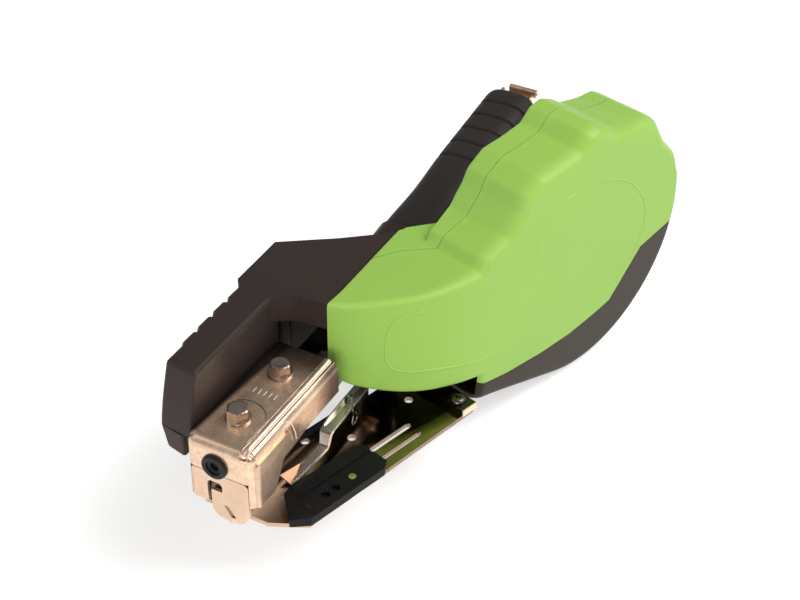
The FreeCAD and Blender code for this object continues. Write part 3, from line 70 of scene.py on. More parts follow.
# The table, the lamps and the camera. A pale table with no edge in view; one large soft panel high on the
# far right, two weak ones in front and on the left, under a dim ceiling, as in a small product studio.
MM = 0.001
CAMERA_PLACE = Vector((-0.356462, -0.263168, 0.444859))
CAMERA_RIGHT = Vector((0.47192, -0.88158, 0.01055))
CAMERA_UP = Vector((0.53033, 0.29341, 0.79540))
CAMERA_BACK = Vector((-0.70431, -0.36977, 0.60599))


def in_scene(name, content):
    """A new object in the scene."""
    made = bpy.data.objects.new(name, content)
    bpy.context.scene.collection.objects.link(made)
    return made


camera_data = bpy.data.cameras.new("camera")
camera_data.lens = 71.91
camera_data.sensor_width = 36.0
camera_data.clip_start = 0.01
camera = in_scene("camera", camera_data)
turn = Matrix((CAMERA_RIGHT, CAMERA_UP, CAMERA_BACK)).transposed()
camera.matrix_world = Matrix.Translation(CAMERA_PLACE) @ turn.to_4x4()
bpy.context.scene.camera = camera
bpy.context.scene.view_settings.view_transform = "Standard"

LOOK_AT = Vector((0.12, -0.01, 0.03))


def softbox(name, place, width, height, watts, colour):
    light = bpy.data.lights.new(name, "AREA")
    light.shape = "RECTANGLE"
    light.size, light.size_y = width, height
    light.energy = watts
    light.color = colour
    lamp = in_scene(name, light)
    lamp.location = place
    lamp.rotation_mode = "QUATERNION"
    lamp.rotation_quaternion = (LOOK_AT - Vector(place)).to_track_quat("-Z", "Y")


softbox("panel_high", (0.45, -0.56, 0.92), 0.75, 0.75, 9.5, (1.0, 0.985, 0.96))
softbox("panel_front", (-0.90, -0.38, 0.26), 0.7, 0.35, 5.0, (1.0, 0.98, 0.95))
softbox("panel_left", (-0.55, 0.80, 0.85), 0.8, 0.8, 1.8, (1.0, 0.99, 0.97))


def feed(tree, made, sockets):
    """Set a node's inputs, each to a value or to another node's output."""
    for label, value in sockets.items():
        if isinstance(value, bpy.types.NodeSocket):
            tree.links.new(value, made.inputs[label])
        else:
            made.inputs[label].default_value = value


def add_node(tree, kind, sockets=None, **settings):
    """A new node with its settings and inputs."""
    made = tree.nodes.new(kind)
    for label, value in settings.items():
        setattr(made, label, value)
    feed(tree, made, sockets or {})
    return made


def levels(tree, source, low, high, to_low=0.0, to_high=1.0):
    """Stretch a value between two levels."""
    made = add_node(tree, "ShaderNodeMapRange", {"Value": source, "From Min": low, "From Max": high,
                                                 "To Min": to_low, "To Max": to_high})
    return made.outputs["Result"]


def maths(tree, one, other, operation="MULTIPLY", clamp=False):
    return add_node(tree, "ShaderNodeMath", {0: one, 1: other}, operation=operation,
                    use_clamp=clamp).outputs[0]


world = bpy.data.worlds.new("studio")
bpy.context.scene.world = world
world.use_nodes = True
tree = world.node_tree
tree.nodes.clear()
way = add_node(tree, "ShaderNodeTexCoord").outputs["Generated"]
height = add_node(tree, "ShaderNodeSeparateXYZ", {"Vector": way}).outputs["Z"]
rays = add_node(tree, "ShaderNodeLightPath").outputs
low_sky = levels(tree, height, 0.0, 0.6, 0.72, 0.25)
pick = add_node(tree, "ShaderNodeMix", {"Factor": rays["Is Camera Ray"], "A": low_sky, "B": 1.0},
                data_type="FLOAT").outputs["Result"]
sky = add_node(tree, "ShaderNodeBackground", {"Strength": pick}).outputs["Background"]
add_node(tree, "ShaderNodeOutputWorld", {"Surface": sky})

TABLE_LEVEL, TABLE_REACH = cad_box[0].z - 0.0003, 6.0
table_mesh = bpy.data.meshes.new("table")
corners = [(x * TABLE_REACH, y * TABLE_REACH, TABLE_LEVEL) for x, y in ((-1, -1), (1, -1), (1, 1), (-1, 1))]
table_mesh.from_pydata(corners, [], [(0, 1, 2, 3)])
table = in_scene("table", table_mesh)
paper = bpy.data.materials.new("table_paper")
paper.use_nodes = True
tree = paper.node_tree
tree.nodes.clear()
rays = add_node(tree, "ShaderNodeLightPath").outputs
seen = maths(tree, rays["Is Camera Ray"], rays["Is Glossy Ray"], "ADD")
seen = maths(tree, seen, rays["Is Transmission Ray"], "ADD", True)
glow = add_node(tree, "ShaderNodeEmission", {"Strength": maths(tree, seen, 0.55)}).outputs[0]
matt = add_node(tree, "ShaderNodeBsdfDiffuse", {"Color": (0.80, 0.80, 0.80, 1)}).outputs[0]
both = add_node(tree, "ShaderNodeAddShader", {0: matt, 1: glow}).outputs[0]
add_node(tree, "ShaderNodeOutputMaterial", {"Surface": both})
table_mesh.materials.append(paper)


# The steel nose: 1.6 mm sheet folded over the staple rail, nickel plated and left satin. A bead is rolled
# along its right edge, a doubling plate is spot welded to its right wall and the front is hardened.
def shader_group(name, inputs, outputs):
    """An empty shader group with named number inputs and outputs."""
    made = bpy.data.node_groups.new(name, "ShaderNodeTree")
    for label, value in inputs:
        socket = made.interface.new_socket(name=label, in_out="INPUT", socket_type="NodeSocketFloat")
        socket.default_value = value
    for label in outputs:
        made.interface.new_socket(name=label, in_out="OUTPUT", socket_type="NodeSocketFloat")
    return made, made.nodes.new("NodeGroupInput").outputs, made.nodes.new("NodeGroupOutput")


def object_place(tree):
    return add_node(tree, "ShaderNodeTexCoord").outputs["Object"]


def noise(tree, scale, detail, roughness, place):
    made = add_node(tree, "ShaderNodeTexNoise", {"Scale": scale, "Detail": detail, "Roughness": roughness,
                                                 "Vector": place})
    return made.outputs["Fac"]


def brushed_group():
    """Fine lines along X from the belt, with cloudy handling marks: Height, Gloss and Cloud."""
    made, entry, leave = shader_group("belt_brushed", [("Line Scale", 900.0), ("Cloud Scale", 40.0)],
                                      ["Height", "Gloss", "Cloud"])
    place = object_place(made)
    drawn_out = add_node(made, "ShaderNodeVectorMath", {0: place, 1: (0.06, 1.0, 1.0)}, operation="MULTIPLY")
    lines = noise(made, entry["Line Scale"], 3.0, 0.55, drawn_out.outputs[0])
    cloud = noise(made, entry["Cloud Scale"], 3.0, 0.5, place)
    feed(made, leave,
         {"Height": lines, "Gloss": levels(made, lines, 0.35, 0.65),
          "Cloud": levels(made, cloud, 0.35, 0.65)})
    return made


def wear_group():
    """Where edges are rubbed: Rubbed is 1 on the most exposed edges, broken up by a fine noise."""
    made, entry, leave = shader_group("rubbed_edges", [("Start", 0.53), ("Full", 0.60)], ["Rubbed"])
    edge = add_node(made, "ShaderNodeNewGeometry").outputs["Pointiness"]
    patch = noise(made, 260.0, 4.0, 0.7, object_place(made))
    feed(made, leave, {"Rubbed": maths(made, levels(made, edge, entry["Start"], entry["Full"]),
                                       levels(made, patch, 0.40, 0.62))})
    return made


BRUSHED = brushed_group()
RUBBED = wear_group()


def group_node(tree, group, **values):
    sockets = {label.replace("_", " "): value for label, value in values.items()}
    return add_node(tree, "ShaderNodeGroup", sockets, node_tree=group).outputs


def blend_colours(tree, factor, one, other):
    one, other = ((*value, 1) if isinstance(value, tuple) else value for value in (one, other))
    return add_node(tree, "ShaderNodeMix", {0: factor, 6: one, 7: other}, data_type="RGBA").outputs[2]


def new_finish(name, metallic=0.0):
    """An empty material with its Principled shader."""
    made = bpy.data.materials.new(name)
    made.use_nodes = True
    shader = made.node_tree.nodes["Principled BSDF"]
    shader.inputs["Metallic"].default_value = metallic
    return made, made.node_tree, shader


def dress(tree, shader, colour, roughness, height, distance):
    """Give a shader its colour, its roughness and a bump of a depth in metres."""
    bump = add_node(tree, "ShaderNodeBump", {"Height": height, "Distance": distance, "Strength": 1.0})
    feed(tree, shader, {"Base Color": colour, "Roughness": roughness, "Normal": bump.outputs["Normal"]})


def plated_steel(name, light, dark, rough_low, rough_high, line_scale=900.0, bump=0.00002, metallic=1.0):
    """Plated steel with belt lines, cloudy tarnish and paler rubbed edges."""
    made, tree, shader = new_finish(name, metallic)
    belt = group_node(tree, BRUSHED, Line_Scale=line_scale)
    base = blend_colours(tree, belt["Cloud"], dark, light)
    pale = tuple(min(1.0, channel * 1.12) for channel in light)
    spread = maths(tree, belt["Gloss"], belt["Cloud"], "ADD")
    dress(tree, shader, blend_colours(tree, group_node(tree, RUBBED)["Rubbed"], base, pale),
          levels(tree, spread, 0.0, 2.0, rough_low, rough_high), belt["Height"], bump)
    return made


NICKEL = plated_steel("nickel_plate", (0.82, 0.59, 0.43), (0.70, 0.49, 0.35), 0.26, 0.38, 700.0, 0.000008,
                      0.86)
ZINC = plated_steel("zinc_plate", (0.66, 0.54, 0.45), (0.46, 0.37, 0.31), 0.14, 0.26, 1400.0, 0.00001)
SPRING_STEEL_AND_PAINTED_SHADE = plated_steel("oiled_spring_steel_and_painted_shade", (0.42, 0.39, 0.37), (0.26, 0.24, 0.23), 0.24, 0.42, 1200.0)
DARK_STEEL_AND_PAINTED_SHADE = plated_steel("oiled_dark_steel_and_painted_shade", (0.16, 0.145, 0.13), (0.08, 0.072, 0.066), 0.18, 0.30, 1200.0,
                     0.00001)


def finished(holder):
    """The mesh that an object's modifiers make; the object itself goes."""
    mesh = bpy.data.meshes.new_from_object(holder.evaluated_get(bpy.context.evaluated_depsgraph_get()))
    bpy.data.objects.remove(holder)
    return mesh


def place_piece(name, mesh, body, finish, stands_for=(), angle=35.0):
    """Put a mesh on its body with its finish; edges sharper than the angle stay sharp."""
    mesh.materials.clear()
    mesh.materials.append(finish)
    mesh.shade_smooth()
    mesh.set_sharp_from_angle(angle=math.radians(angle))
    holder = in_scene("shading", mesh)
    holder.modifiers.new("Weighted", "WEIGHTED_NORMAL").keep_sharp = True
    mesh = finished(holder)
    mesh.name = name
    made = in_scene(name, mesh)
    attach(made, body)
    if stands_for:
        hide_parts(*stands_for)


def as_shape(mesh, merge=0.000003, flat=0.5):
    """A mesh as a bmesh whose doubles are merged and whose flat faces are whole again."""
    shape = bmesh.new()
    shape.from_mesh(mesh)
    bmesh.ops.remove_doubles(shape, verts=shape.verts, dist=merge)
    bmesh.ops.dissolve_limit(shape, angle_limit=math.radians(flat), verts=shape.verts, edges=shape.edges)
    return shape


def solid_of(node):
    """A plain solid's triangles merged into its real faces."""
    return as_shape(frame["nodes"][node].data, 0.000002, 0.8)


def plain_mesh(shape):
    """A bmesh as a mesh, as it is."""
    mesh = bpy.data.meshes.new("plain")
    shape.to_mesh(mesh)
    shape.free()
    return mesh


def hull(points):
    """The smallest solid round some points."""
    shape = bmesh.new()
    for point in points:
        shape.verts.new(point)
    bmesh.ops.convex_hull(shape, input=shape.verts)
    return shape


def bevelled(shape, width, segments, angle):
    """The mesh of a bmesh (metres) with every edge sharper than an angle rounded."""
    holder = in_scene("rounding", plain_mesh(shape))
    bevel = holder.modifiers.new("Bevel", "BEVEL")
    bevel.width = width * MM
    bevel.segments = segments
    bevel.limit_method = "ANGLE"
    bevel.angle_limit = math.radians(angle)
    bevel.miter_outer = "MITER_ARC"
    return finished(holder)


SLOT_OF = {part["node"]: part["material_slot"] for part in frame["record"]["subparts"]}


def stand_in(node, name, shape, finish, width, segments, angle):
    """Replace a plain solid with a shape of its own, its edges rounded."""
    body = frame["nodes"][node]["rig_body"]
    place_piece(name, bevelled(shape, width, segments, angle), body, finish, (node,))


def eased(node, finish, width, segments=2, angle=32.0):
    stand_in(node, node + "_eased", solid_of(node), finish, width, segments, angle)


ROLL = 4.5
NOSE_HALF, NOSE_TOP = 15.2, 42.0
MANY_CUTS = 7


def rolled_front(shape):
    """Bend the sheet's square front edges round: over the top and round both sides. Works in metres."""
    reach = ROLL * MM
    planes = [((step * reach / MANY_CUTS, 0, 0), (1, 0, 0)) for step in range(1, MANY_CUTS + 1)]
    for step in range(1, MANY_CUTS + 1):
        away = step * reach / MANY_CUTS
        planes.append(((0, 0, NOSE_TOP * MM - away), (0, 0, 1)))
        planes += [((0, side * (NOSE_HALF * MM - away), 0), (0, 1, 0)) for side in (-1, 1)]
    for place, normal in planes:
        geometry = shape.verts[:] + shape.edges[:] + shape.faces[:]
        bmesh.ops.bisect_plane(shape, geom=geometry, plane_co=place, plane_no=normal)
    centre_high, centre_side = (NOSE_TOP - ROLL) * MM, (NOSE_HALF - ROLL) * MM

    def bent(front, away):
        """A point of the square corner carried to the round one."""
        far = max(front, away)
        turn = math.pi / 4 * (away / front if away < front else 2 - front / away)
        return reach - far * math.cos(turn), far * math.sin(turn)

    for vert in shape.verts:
        front, high = reach - vert.co.x, vert.co.z - centre_high
        if front > 0 and high > 0:
            vert.co.x, rise = bent(front, high)
            vert.co.z = centre_high + rise
        front, side = reach - vert.co.x, abs(vert.co.y) - centre_side
        if front > 0 and side > 0:
            vert.co.x, out = bent(front, side)
            vert.co.y = math.copysign(centre_side + out, vert.co.y)
    return shape


def as_mesh(shape):
    """A bmesh drawn in millimetres as a mesh in metres, its faces turned outward."""
    bmesh.ops.remove_doubles(shape, verts=shape.verts, dist=0.0005)
    bmesh.ops.recalc_face_normals(shape, faces=shape.faces)
    bmesh.ops.scale(shape, vec=(MM, MM, MM), verts=shape.verts)
    return plain_mesh(shape)


def grid_shape(rows, closed_rows=False):
    """Skin a list of equal rings of points; the rings close on one another, or the ends are capped."""
    shape = bmesh.new()
    rings = [[shape.verts.new(point) for point in row] for row in rows]
    for one, two in zip(rings, rings[1:] + rings[:1] * closed_rows):
        for index in range(len(one)):
            after = (index + 1) % len(one)
            shape.faces.new((one[index], one[after], two[after], two[index]))
    if not closed_rows:
        shape.faces.new(rings[0][::-1])
        shape.faces.new(rings[-1])
    return shape


def tube_points(path, radius, around=10):
    """Rings of a round bar that follows a path of points."""
    spots = [Vector(p) for p in path]
    rings = []
    side = None
    for index, spot in enumerate(spots):
        way = (spots[min(index + 1, len(spots) - 1)] - spots[max(index - 1, 0)]).normalized()
        if side is None:
            side = way.orthogonal().normalized()
        side = (side - way * side.dot(way)).normalized()
        up = way.cross(side)
        turns = [2 * math.pi * step / around for step in range(around)]
        rings.append([spot + (side * math.cos(a) + up * math.sin(a)) * radius for a in turns])
    return rings


def bar(name, path, radius, body, finish, around=10, stands_for=()):
    shape = grid_shape(tube_points(path, radius, around))
    place_piece(name, as_mesh(shape), body, finish, stands_for, 50.0)


# The pressed step round the front bolt, the rolled bead in its pocket and the doubling plate's pressed rim.
# All are raised from the nose's own sheet, so they share its plating, and ride on the foot; the step is drawn
# in darker steel as painted shade, the bead and the doubler's outer rim in paler nickel as painted highlight.
BOLT_SIDE = 1.5
BOLT_FRONT = 17.1
STEP_RADIUS = 10.6
STEP_FROM, STEP_TO = 34.0, -74.0
STEP_COUNT = 36
step_path = []
for index in range(STEP_COUNT + 1):
    angle = math.radians(STEP_FROM + (STEP_TO - STEP_FROM) * index / STEP_COUNT)
    step_path.append((BOLT_FRONT + STEP_RADIUS * math.cos(angle),
                      BOLT_SIDE + STEP_RADIUS * math.sin(angle), NOSE_TOP))
step_path += [(14.0, -8.75, NOSE_TOP), (7.0, -8.75, NOSE_TOP - 0.02)]
# The step is a thin line of darker steel: painted shade along the pressed step.
bar("bolt_seat_step_painted_shade", step_path, 0.24, "foot", SPRING_STEEL_AND_PAINTED_SHADE, 8)


def combined(mesh, tool_mesh, operation, crossing=False):
    """One mesh cut, joined or limited by another; crossing says that the other's own parts cross."""
    holder, tool = in_scene("base", mesh), in_scene("tool", tool_mesh)
    change = holder.modifiers.new("Boolean", "BOOLEAN")
    change.operation = operation
    change.solver = "EXACT"
    change.use_self = crossing
    change.object = tool
    result = finished(holder)
    bpy.data.objects.remove(tool)
    return result


def steel_tone_and_painted_light_where(finish, way, low, high, light, rougher=0.22):
    """Mix another colour into a finish past a line across the piece (metres): bare steel on the bar's end,
    painted shade and painted reflection on the nose and the plate.
    """
    tree = finish.node_tree
    shader = tree.nodes["Principled BSDF"]
    old, rough = (shader.inputs[label].links[0].from_socket for label in ("Base Color", "Roughness"))
    far = add_node(tree, "ShaderNodeVectorMath", {0: object_place(tree), 1: way}, operation="DOT_PRODUCT")
    mask = levels(tree, far.outputs["Value"], low, high)
    feed(tree, shader, {"Base Color": blend_colours(tree, mask, old, light),
                        "Roughness": maths(tree, rough, maths(tree, mask, rougher), "ADD")})


NOSE_NICKEL_PAINTED_SHADE = plated_steel("nose_nickel_painted_shade", (0.83, 0.60, 0.43), (0.71, 0.50, 0.36), 0.22, 0.34, 700.0, 0.000008,
                           0.86)
# The nose is darkened towards its rear end under the housing and along its left top edge beside the shroud:
# painted shadow and painted reflection of the black housing.
steel_tone_and_painted_light_where(NOSE_NICKEL_PAINTED_SHADE, (1, 0, 0), 0.046, 0.058, (0.22, 0.155, 0.12), 0.0)
steel_tone_and_painted_light_where(NOSE_NICKEL_PAINTED_SHADE, (0.10, 1, 0.25), 0.0224, 0.0246, (0.07, 0.052, 0.045), 0.0)
BEAD_SIDE, BEAD_RADIUS, POCKET_RADIUS = -11.6, 1.3, 2.75
pocket_path = [(-0.7, BEAD_SIDE, 39.4), (0.1, BEAD_SIDE, 41.3), (1.5, BEAD_SIDE, 42.8),
               (3.4, BEAD_SIDE, 43.5), (5.4, BEAD_SIDE, 43.6), (66.0, BEAD_SIDE, 43.6)]
pocket_tool = as_mesh(grid_shape(tube_points(pocket_path, POCKET_RADIUS, 40)))
for node, width in (("nose_housing", 0.35), ("side_plate", 0.30), ("nose_plate", 0.22)):
    rolled = rolled_front(solid_of(node))
    if node == "nose_housing":
        rolled = as_shape(combined(plain_mesh(rolled), pocket_tool, "DIFFERENCE"))
    finish = NOSE_NICKEL_PAINTED_SHADE if node == "nose_housing" else NICKEL
    place_piece(node + "_rolled", bevelled(rolled, width, 3, 58.0), "foot", finish, (node,))
bead_path = [(1.7, BEAD_SIDE, 40.1), (2.5, BEAD_SIDE, 41.1), (3.7, BEAD_SIDE, 41.8),
             (5.4, BEAD_SIDE, 42.15), (30.0, BEAD_SIDE, 42.15), (61.0, BEAD_SIDE, 42.15),
             (62.6, BEAD_SIDE, 42.1)]
# A paler nickel for the rolled bead and the doubler's outer rim: painted highlight along their rounded tops.
PAINTED_HIGHLIGHT_NICKEL = plated_steel("bead_painted_highlight", (0.95, 0.80, 0.66), (0.88, 0.70, 0.56), 0.20, 0.30, 700.0, 0.000004, 0.8)
bar("rolled_bead", bead_path, BEAD_RADIUS, "foot", PAINTED_HIGHLIGHT_NICKEL, 24)


# The doubler's pressed edge runs along the roll beside the bead, turns down and ends at the wall's low edge.
# It is drawn as two fine rounded lines, the outer one in paler nickel as painted highlight, paler still where
# it is rubbed.
DOUBLER_OUTER = ((3.6, -13.9, 40.6), (5.0, -13.9, 40.75), (24.0, -13.9, 40.75), (25.9, -14.3, 40.25),
                 (27.2, -15.0, 38.7), (28.2, -15.6, 36.6), (29.2, -16.0, 33.0), (29.8, -16.05, 29.2))
DOUBLER_INNER = ((5.2, -15.1, 38.9), (22.6, -15.1, 38.9), (24.3, -15.5, 37.9), (25.5, -15.95, 36.2),
                 (26.6, -16.1, 33.0), (27.3, -16.1, 29.6))
bar("doubler_rim_outer", DOUBLER_OUTER, 0.36, "foot", PAINTED_HIGHLIGHT_NICKEL, 10)
bar("doubler_rim_inner", DOUBLER_INNER, 0.26, "foot", NICKEL, 8)

# Bolts, washers and the scale on the nose. Cold formed M5 hexagon bolts on spring washers clamp the rail's
# hanger; the scale is stamped. The like pieces are set out in rows by one arrangement of nodes.
def row_tree():
    """Geometry nodes that repeat one shape along a line and give it its finish."""
    made = bpy.data.node_groups.new("set_out_in_a_row", "GeometryNodeTree")
    for label, kind in (("Shape", "Geometry"), ("Count", "Int"), ("Step", "Vector"), ("Finish", "Material")):
        made.interface.new_socket(name=label, in_out="INPUT", socket_type="NodeSocket" + kind)
    made.interface.new_socket(name="Row", in_out="OUTPUT", socket_type="NodeSocketGeometry")
    entry = made.nodes.new("NodeGroupInput").outputs
    line = add_node(made, "GeometryNodeMeshLine", {"Count": entry["Count"], "Offset": entry["Step"]},
                    mode="OFFSET")
    spots, shape = line.outputs["Mesh"], entry["Shape"]
    repeat = add_node(made, "GeometryNodeInstanceOnPoints", {"Points": spots, "Instance": shape})
    solid = add_node(made, "GeometryNodeRealizeInstances", {"Geometry": repeat.outputs["Instances"]})
    finish = add_node(made, "GeometryNodeSetMaterial",
                      {"Geometry": solid.outputs["Geometry"], "Material": entry["Finish"]})
    add_node(made, "NodeGroupOutput", {"Row": finish.outputs["Geometry"]})
    return made


ROW = row_tree()


def in_a_row(name, mesh, count, step, body, finish, stands_for=(), angle=35.0):
    """Repeat a mesh along a step (millimetres) and put the row on its body."""
    holder = in_scene("row", mesh)
    nodes = holder.modifiers.new("Row", "NODES")
    nodes.node_group = ROW
    sockets = {item.name: item.identifier for item in ROW.interface.items_tree if item.in_out == "INPUT"}
    nodes[sockets["Count"]] = count
    nodes[sockets["Step"]] = [value * MM for value in step]
    nodes[sockets["Finish"]] = finish
    place_piece(name, finished(holder), body, finish, stands_for, angle)


def turned(profile, place, axis="Z", around=48, shape_of=None, ring=False):
    """A turned piece: (radius, height) pairs round an axis through a place; a ring's profile is closed."""
    frames = {"Z": Matrix.Identity(3), "-X": Matrix(((0, 0, -1), (0, 1, 0), (1, 0, 0))),
              "-Y": Matrix(((1, 0, 0), (0, 0, -1), (0, 1, 0)))}
    lay = frames[axis]
    rows = []
    for radius, high in profile:
        row = []
        for index in range(around):
            angle = 2 * math.pi * index / around
            real = shape_of(radius, angle) if shape_of else radius
            row.append(Vector(place) + lay @ Vector((real * math.cos(angle), real * math.sin(angle), high)))
        rows.append(row)
    return grid_shape(rows, closed_rows=ring)


BOLT_FLATS = 8.0
BOLT_SEAT = 43.0
BOLT_SPACING = 30.3
HEAD_HEIGHT = 4.4


def hexagon_trim(radius, angle):
    """A radius cut back to the hexagon's flats."""
    sector = math.pi / 3
    away = (angle + sector / 2) % sector - sector / 2
    return min(radius, BOLT_FLATS / 2 / math.cos(away))


HEAD_CROWN = ((4.62, 0.75), (4.42, 0.42), (4.12, 0.18), (3.75, 0.04), (3.3, 0.0), (2.5, 0.10), (1.2, 0.16))
head_profile = [(2.45, BOLT_SEAT - 6.0), (2.45, BOLT_SEAT), (4.1, BOLT_SEAT), (4.62, BOLT_SEAT + 0.05)]
head_profile += [(radius, BOLT_SEAT + HEAD_HEIGHT - down) for radius, down in HEAD_CROWN]
bolt = turned(head_profile, (BOLT_FRONT, BOLT_SIDE, 0.0), "Z", 72, hexagon_trim)
in_a_row("nose_bolt_heads", as_mesh(bolt), 2, (BOLT_SPACING, 0, 0), "foot", ZINC,
         ("nose_bolts",), 28.0)

washer_profile = [(2.6, 42.0), (4.95, 42.0), (5.2, 42.2), (5.2, 42.72), (5.0, 43.0), (2.6, 43.0)]
washer_rows = turned(washer_profile, (BOLT_FRONT, BOLT_SIDE, 0.0), "Z", 60, None, True)
in_a_row("spring_washers", as_mesh(washer_rows), 2, (BOLT_SPACING, 0, 0), "foot", ZINC,
         ("nose_washers",), 28.0)

MARK_LENGTH, MARK_WIDTH, MARK_RAISE = 3.0, 0.32, 0.06
MARK_FIRST = (32.6, 4.9)
MARK_STEP = 2.42
points = [(MARK_FIRST[0] + x * MARK_LENGTH, MARK_FIRST[1] + y * MARK_WIDTH / 2, NOSE_TOP + z)
          for x, y in ((0, -1), (1, -1), (1, 1), (0, 1)) for z in (-0.3, MARK_RAISE)]
CHALK, tree, shader = new_finish("stamped_mark")
grain = levels(tree, noise(tree, 2500.0, 2.0, 0.5, object_place(tree)), 0.4, 0.6)
feed(tree, shader, {"Base Color": blend_colours(tree, grain, (0.80, 0.74, 0.66), (0.95, 0.92, 0.86)),
                    "Roughness": 0.55})
in_a_row("depth_scale", as_mesh(hull(points)), 5, (0, -MARK_STEP, 0), "foot", CHALK)


# The bumper in the nose: a black moulded ring round a blind bore, pressed into the front.
# Its rim stands 1.6 mm proud of the sheet and is rounded inside and out.
def fine_grain_group():
    """Spark-eroded mould grain: Height, Gloss and a slow Shade."""
    made, entry, leave = shader_group("mould_grain", [("Grain Scale", 2600.0), ("Shade Scale", 22.0)],
                                      ["Height", "Gloss", "Shade"])
    place = object_place(made)
    grain = noise(made, entry["Grain Scale"], 3.0, 0.6, place)
    shade = noise(made, entry["Shade Scale"], 3.0, 0.5, place)
    feed(made, leave, {"Height": grain, "Gloss": levels(made, grain, 0.3, 0.7),
                       "Shade": levels(made, shade, 0.3, 0.7)})
    return made


MOULD_GRAIN = fine_grain_group()


def moulded(name, colour, worn_colour, rough_low, rough_high, grain_scale=2600.0, depth=0.00004, vary=0.88,
            gloss=0.30, start=0.53, full=0.62):
    """Moulded plastic: a fine grain, slow shading, and a burnished or scuffed edge."""
    made, tree, shader = new_finish(name)
    grain = group_node(tree, MOULD_GRAIN, Grain_Scale=grain_scale)
    worn = group_node(tree, RUBBED, Start=start, Full=full)
    deep = tuple(channel * vary for channel in colour)
    base = blend_colours(tree, grain["Shade"], deep, colour)
    dress(tree, shader, blend_colours(tree, worn["Rubbed"], base, worn_colour),
          levels(tree, grain["Gloss"], 0.0, 1.0, rough_low, rough_high), grain["Height"], depth)
    shader.inputs["Specular IOR Level"].default_value = gloss
    return made


RUBBER = moulded("bumper_rubber", (0.010, 0.009, 0.009), (0.03, 0.028, 0.027), 0.42, 0.60, gloss=0.28)
plug_profile = [(5.45, 1.3), (5.45, -0.9), (5.2, -1.35), (4.8, -1.6), (3.6, -1.6), (3.3, -1.35),
                (3.15, -0.6), (2.1, -0.6), (1.9, -0.4), (1.9, 1.0), (0.4, 1.05)]
PLUG_HEIGHT = 31.1
plug = turned([(r, -h) for r, h in plug_profile], (0.0, BOLT_SIDE, PLUG_HEIGHT), "-X", 56)
place_piece("bumper_ring", as_mesh(plug), "foot", RUBBER, ("nose_plug",), 30.0)


# The base plate and what stands on it: polished plated steel, so dark and mirror-like that it shows what is
# above it, a rear bar under two screws, a moulded guide on each side of the cap track and one upright strap.
PLATE = plated_steel("polished_track_painted_reflection", (0.30, 0.215, 0.165), (0.20, 0.145, 0.11), 0.07, 0.16, 700.0, 0.000004)
BAR = plated_steel("blackened_bar", (0.060, 0.054, 0.048), (0.035, 0.030, 0.028), 0.20, 0.30, 900.0, 0.00001)

# The plate is made lighter and rougher towards its front: painted reflection.
steel_tone_and_painted_light_where(PLATE, (-1, 0, 0), -0.036, -0.018, (0.60, 0.42, 0.30))
steel_tone_and_painted_light_where(BAR, (-0.2823, -0.9593, 0), 0.0229, 0.0233, (0.90, 0.70, 0.54))
TURN = math.radians(16.4)
SCREW_SEAT = (114.8, -17.0)


def track(reach, side, high):
    """A point along and across the turned cap track (millimetres)."""
    return Vector((reach * math.cos(TURN) + side * math.sin(TURN),
                   -reach * math.sin(TURN) + side * math.cos(TURN), high))


def along(x, y):
    """A point's X and Y turned into the track's own directions."""
    return (x * math.cos(TURN) - y * math.sin(TURN), x * math.sin(TURN) + y * math.cos(TURN))


def refitted(node, finish, width, chosen):
    """A piece whose points slide along and across the track by what chosen says of each, in millimetres."""
    shape = solid_of(node)
    for vert in shape.verts:
        vert.co += track(*chosen(*along(vert.co.x / MM, vert.co.y / MM)), 0.0) * MM
    stand_in(node, node + "_eased", shape, finish, width, 3, 32.0)


HOLE_REACH, HOLE_SIDE, HOLE_GRASP = 116.0, -20.0, 2.6
BAR_REAR, BAR_RIGHT, PLATE_RIGHT = 119.0, -24.5, -23.0


def in_hole(reach, side, at):
    return math.hypot(reach - HOLE_REACH, side - at) < HOLE_GRASP


def bar_slide(reach, side):
    """Each screw's hole goes with its screw, and the bar's rear edge and right end come in."""
    if in_hole(reach, side, HOLE_SIDE):
        return (SCREW_SEAT[0] - HOLE_REACH, SCREW_SEAT[1] - HOLE_SIDE)
    if in_hole(reach, side, 0.0):
        return (SCREW_SEAT[0] - HOLE_REACH, 0.0)
    return (-1.5 if reach > BAR_REAR else 0.0, 3.3 if side < BAR_RIGHT else 0.0)


def plate_slide(reach, side):
    return (-2.6, 1.5) if reach > BAR_REAR and side < PLATE_RIGHT else bar_slide(reach, side)


refitted("base_plate", PLATE, 0.30, plate_slide)
eased("side_strap", NICKEL, 0.30)
refitted("rear_bracket", BAR, 0.45, bar_slide)
eased("lever_post", SPRING_STEEL_AND_PAINTED_SHADE, 0.35)
GUIDE = moulded("guide_nylon", (0.0065, 0.006, 0.0065), (0.035, 0.031, 0.031), 0.44, 0.56, 2200.0, gloss=0.15)
eased("cap_guide", GUIDE, 0.35, 3)
eased("left_guide", GUIDE, 0.30, 2)

pan_profile = [(2.0, 0.1), (2.0, 5.0), (3.2, 5.0), (3.4, 5.15), (3.4, 5.9), (3.15, 6.45), (2.6, 6.85),
               (1.9, 7.0)]
pan = turned(pan_profile, track(SCREW_SEAT[0], 0.0, 0.0), "Z", 48)
SCREW_STEP = track(0.0, SCREW_SEAT[1], 0.0)


def cross_cut(mesh, place, reach, width, low, high):
    """Cut a cross recess down into a head."""
    cutter = bmesh.new()
    for wide, deep in ((reach, width), (width, reach)):
        points = []
        for x, y in ((-1, -1), (1, -1), (1, 1), (-1, 1)):
            points += [place + Vector((x * wide / 2, y * deep / 2, high)),
                       place + Vector((x * wide * 0.25, y * deep * 0.45, low))]
        cutter.from_mesh(plain_mesh(hull(points)))
    bmesh.ops.scale(cutter, vec=(MM, MM, MM), verts=cutter.verts)
    return combined(mesh, plain_mesh(cutter), "DIFFERENCE", True)


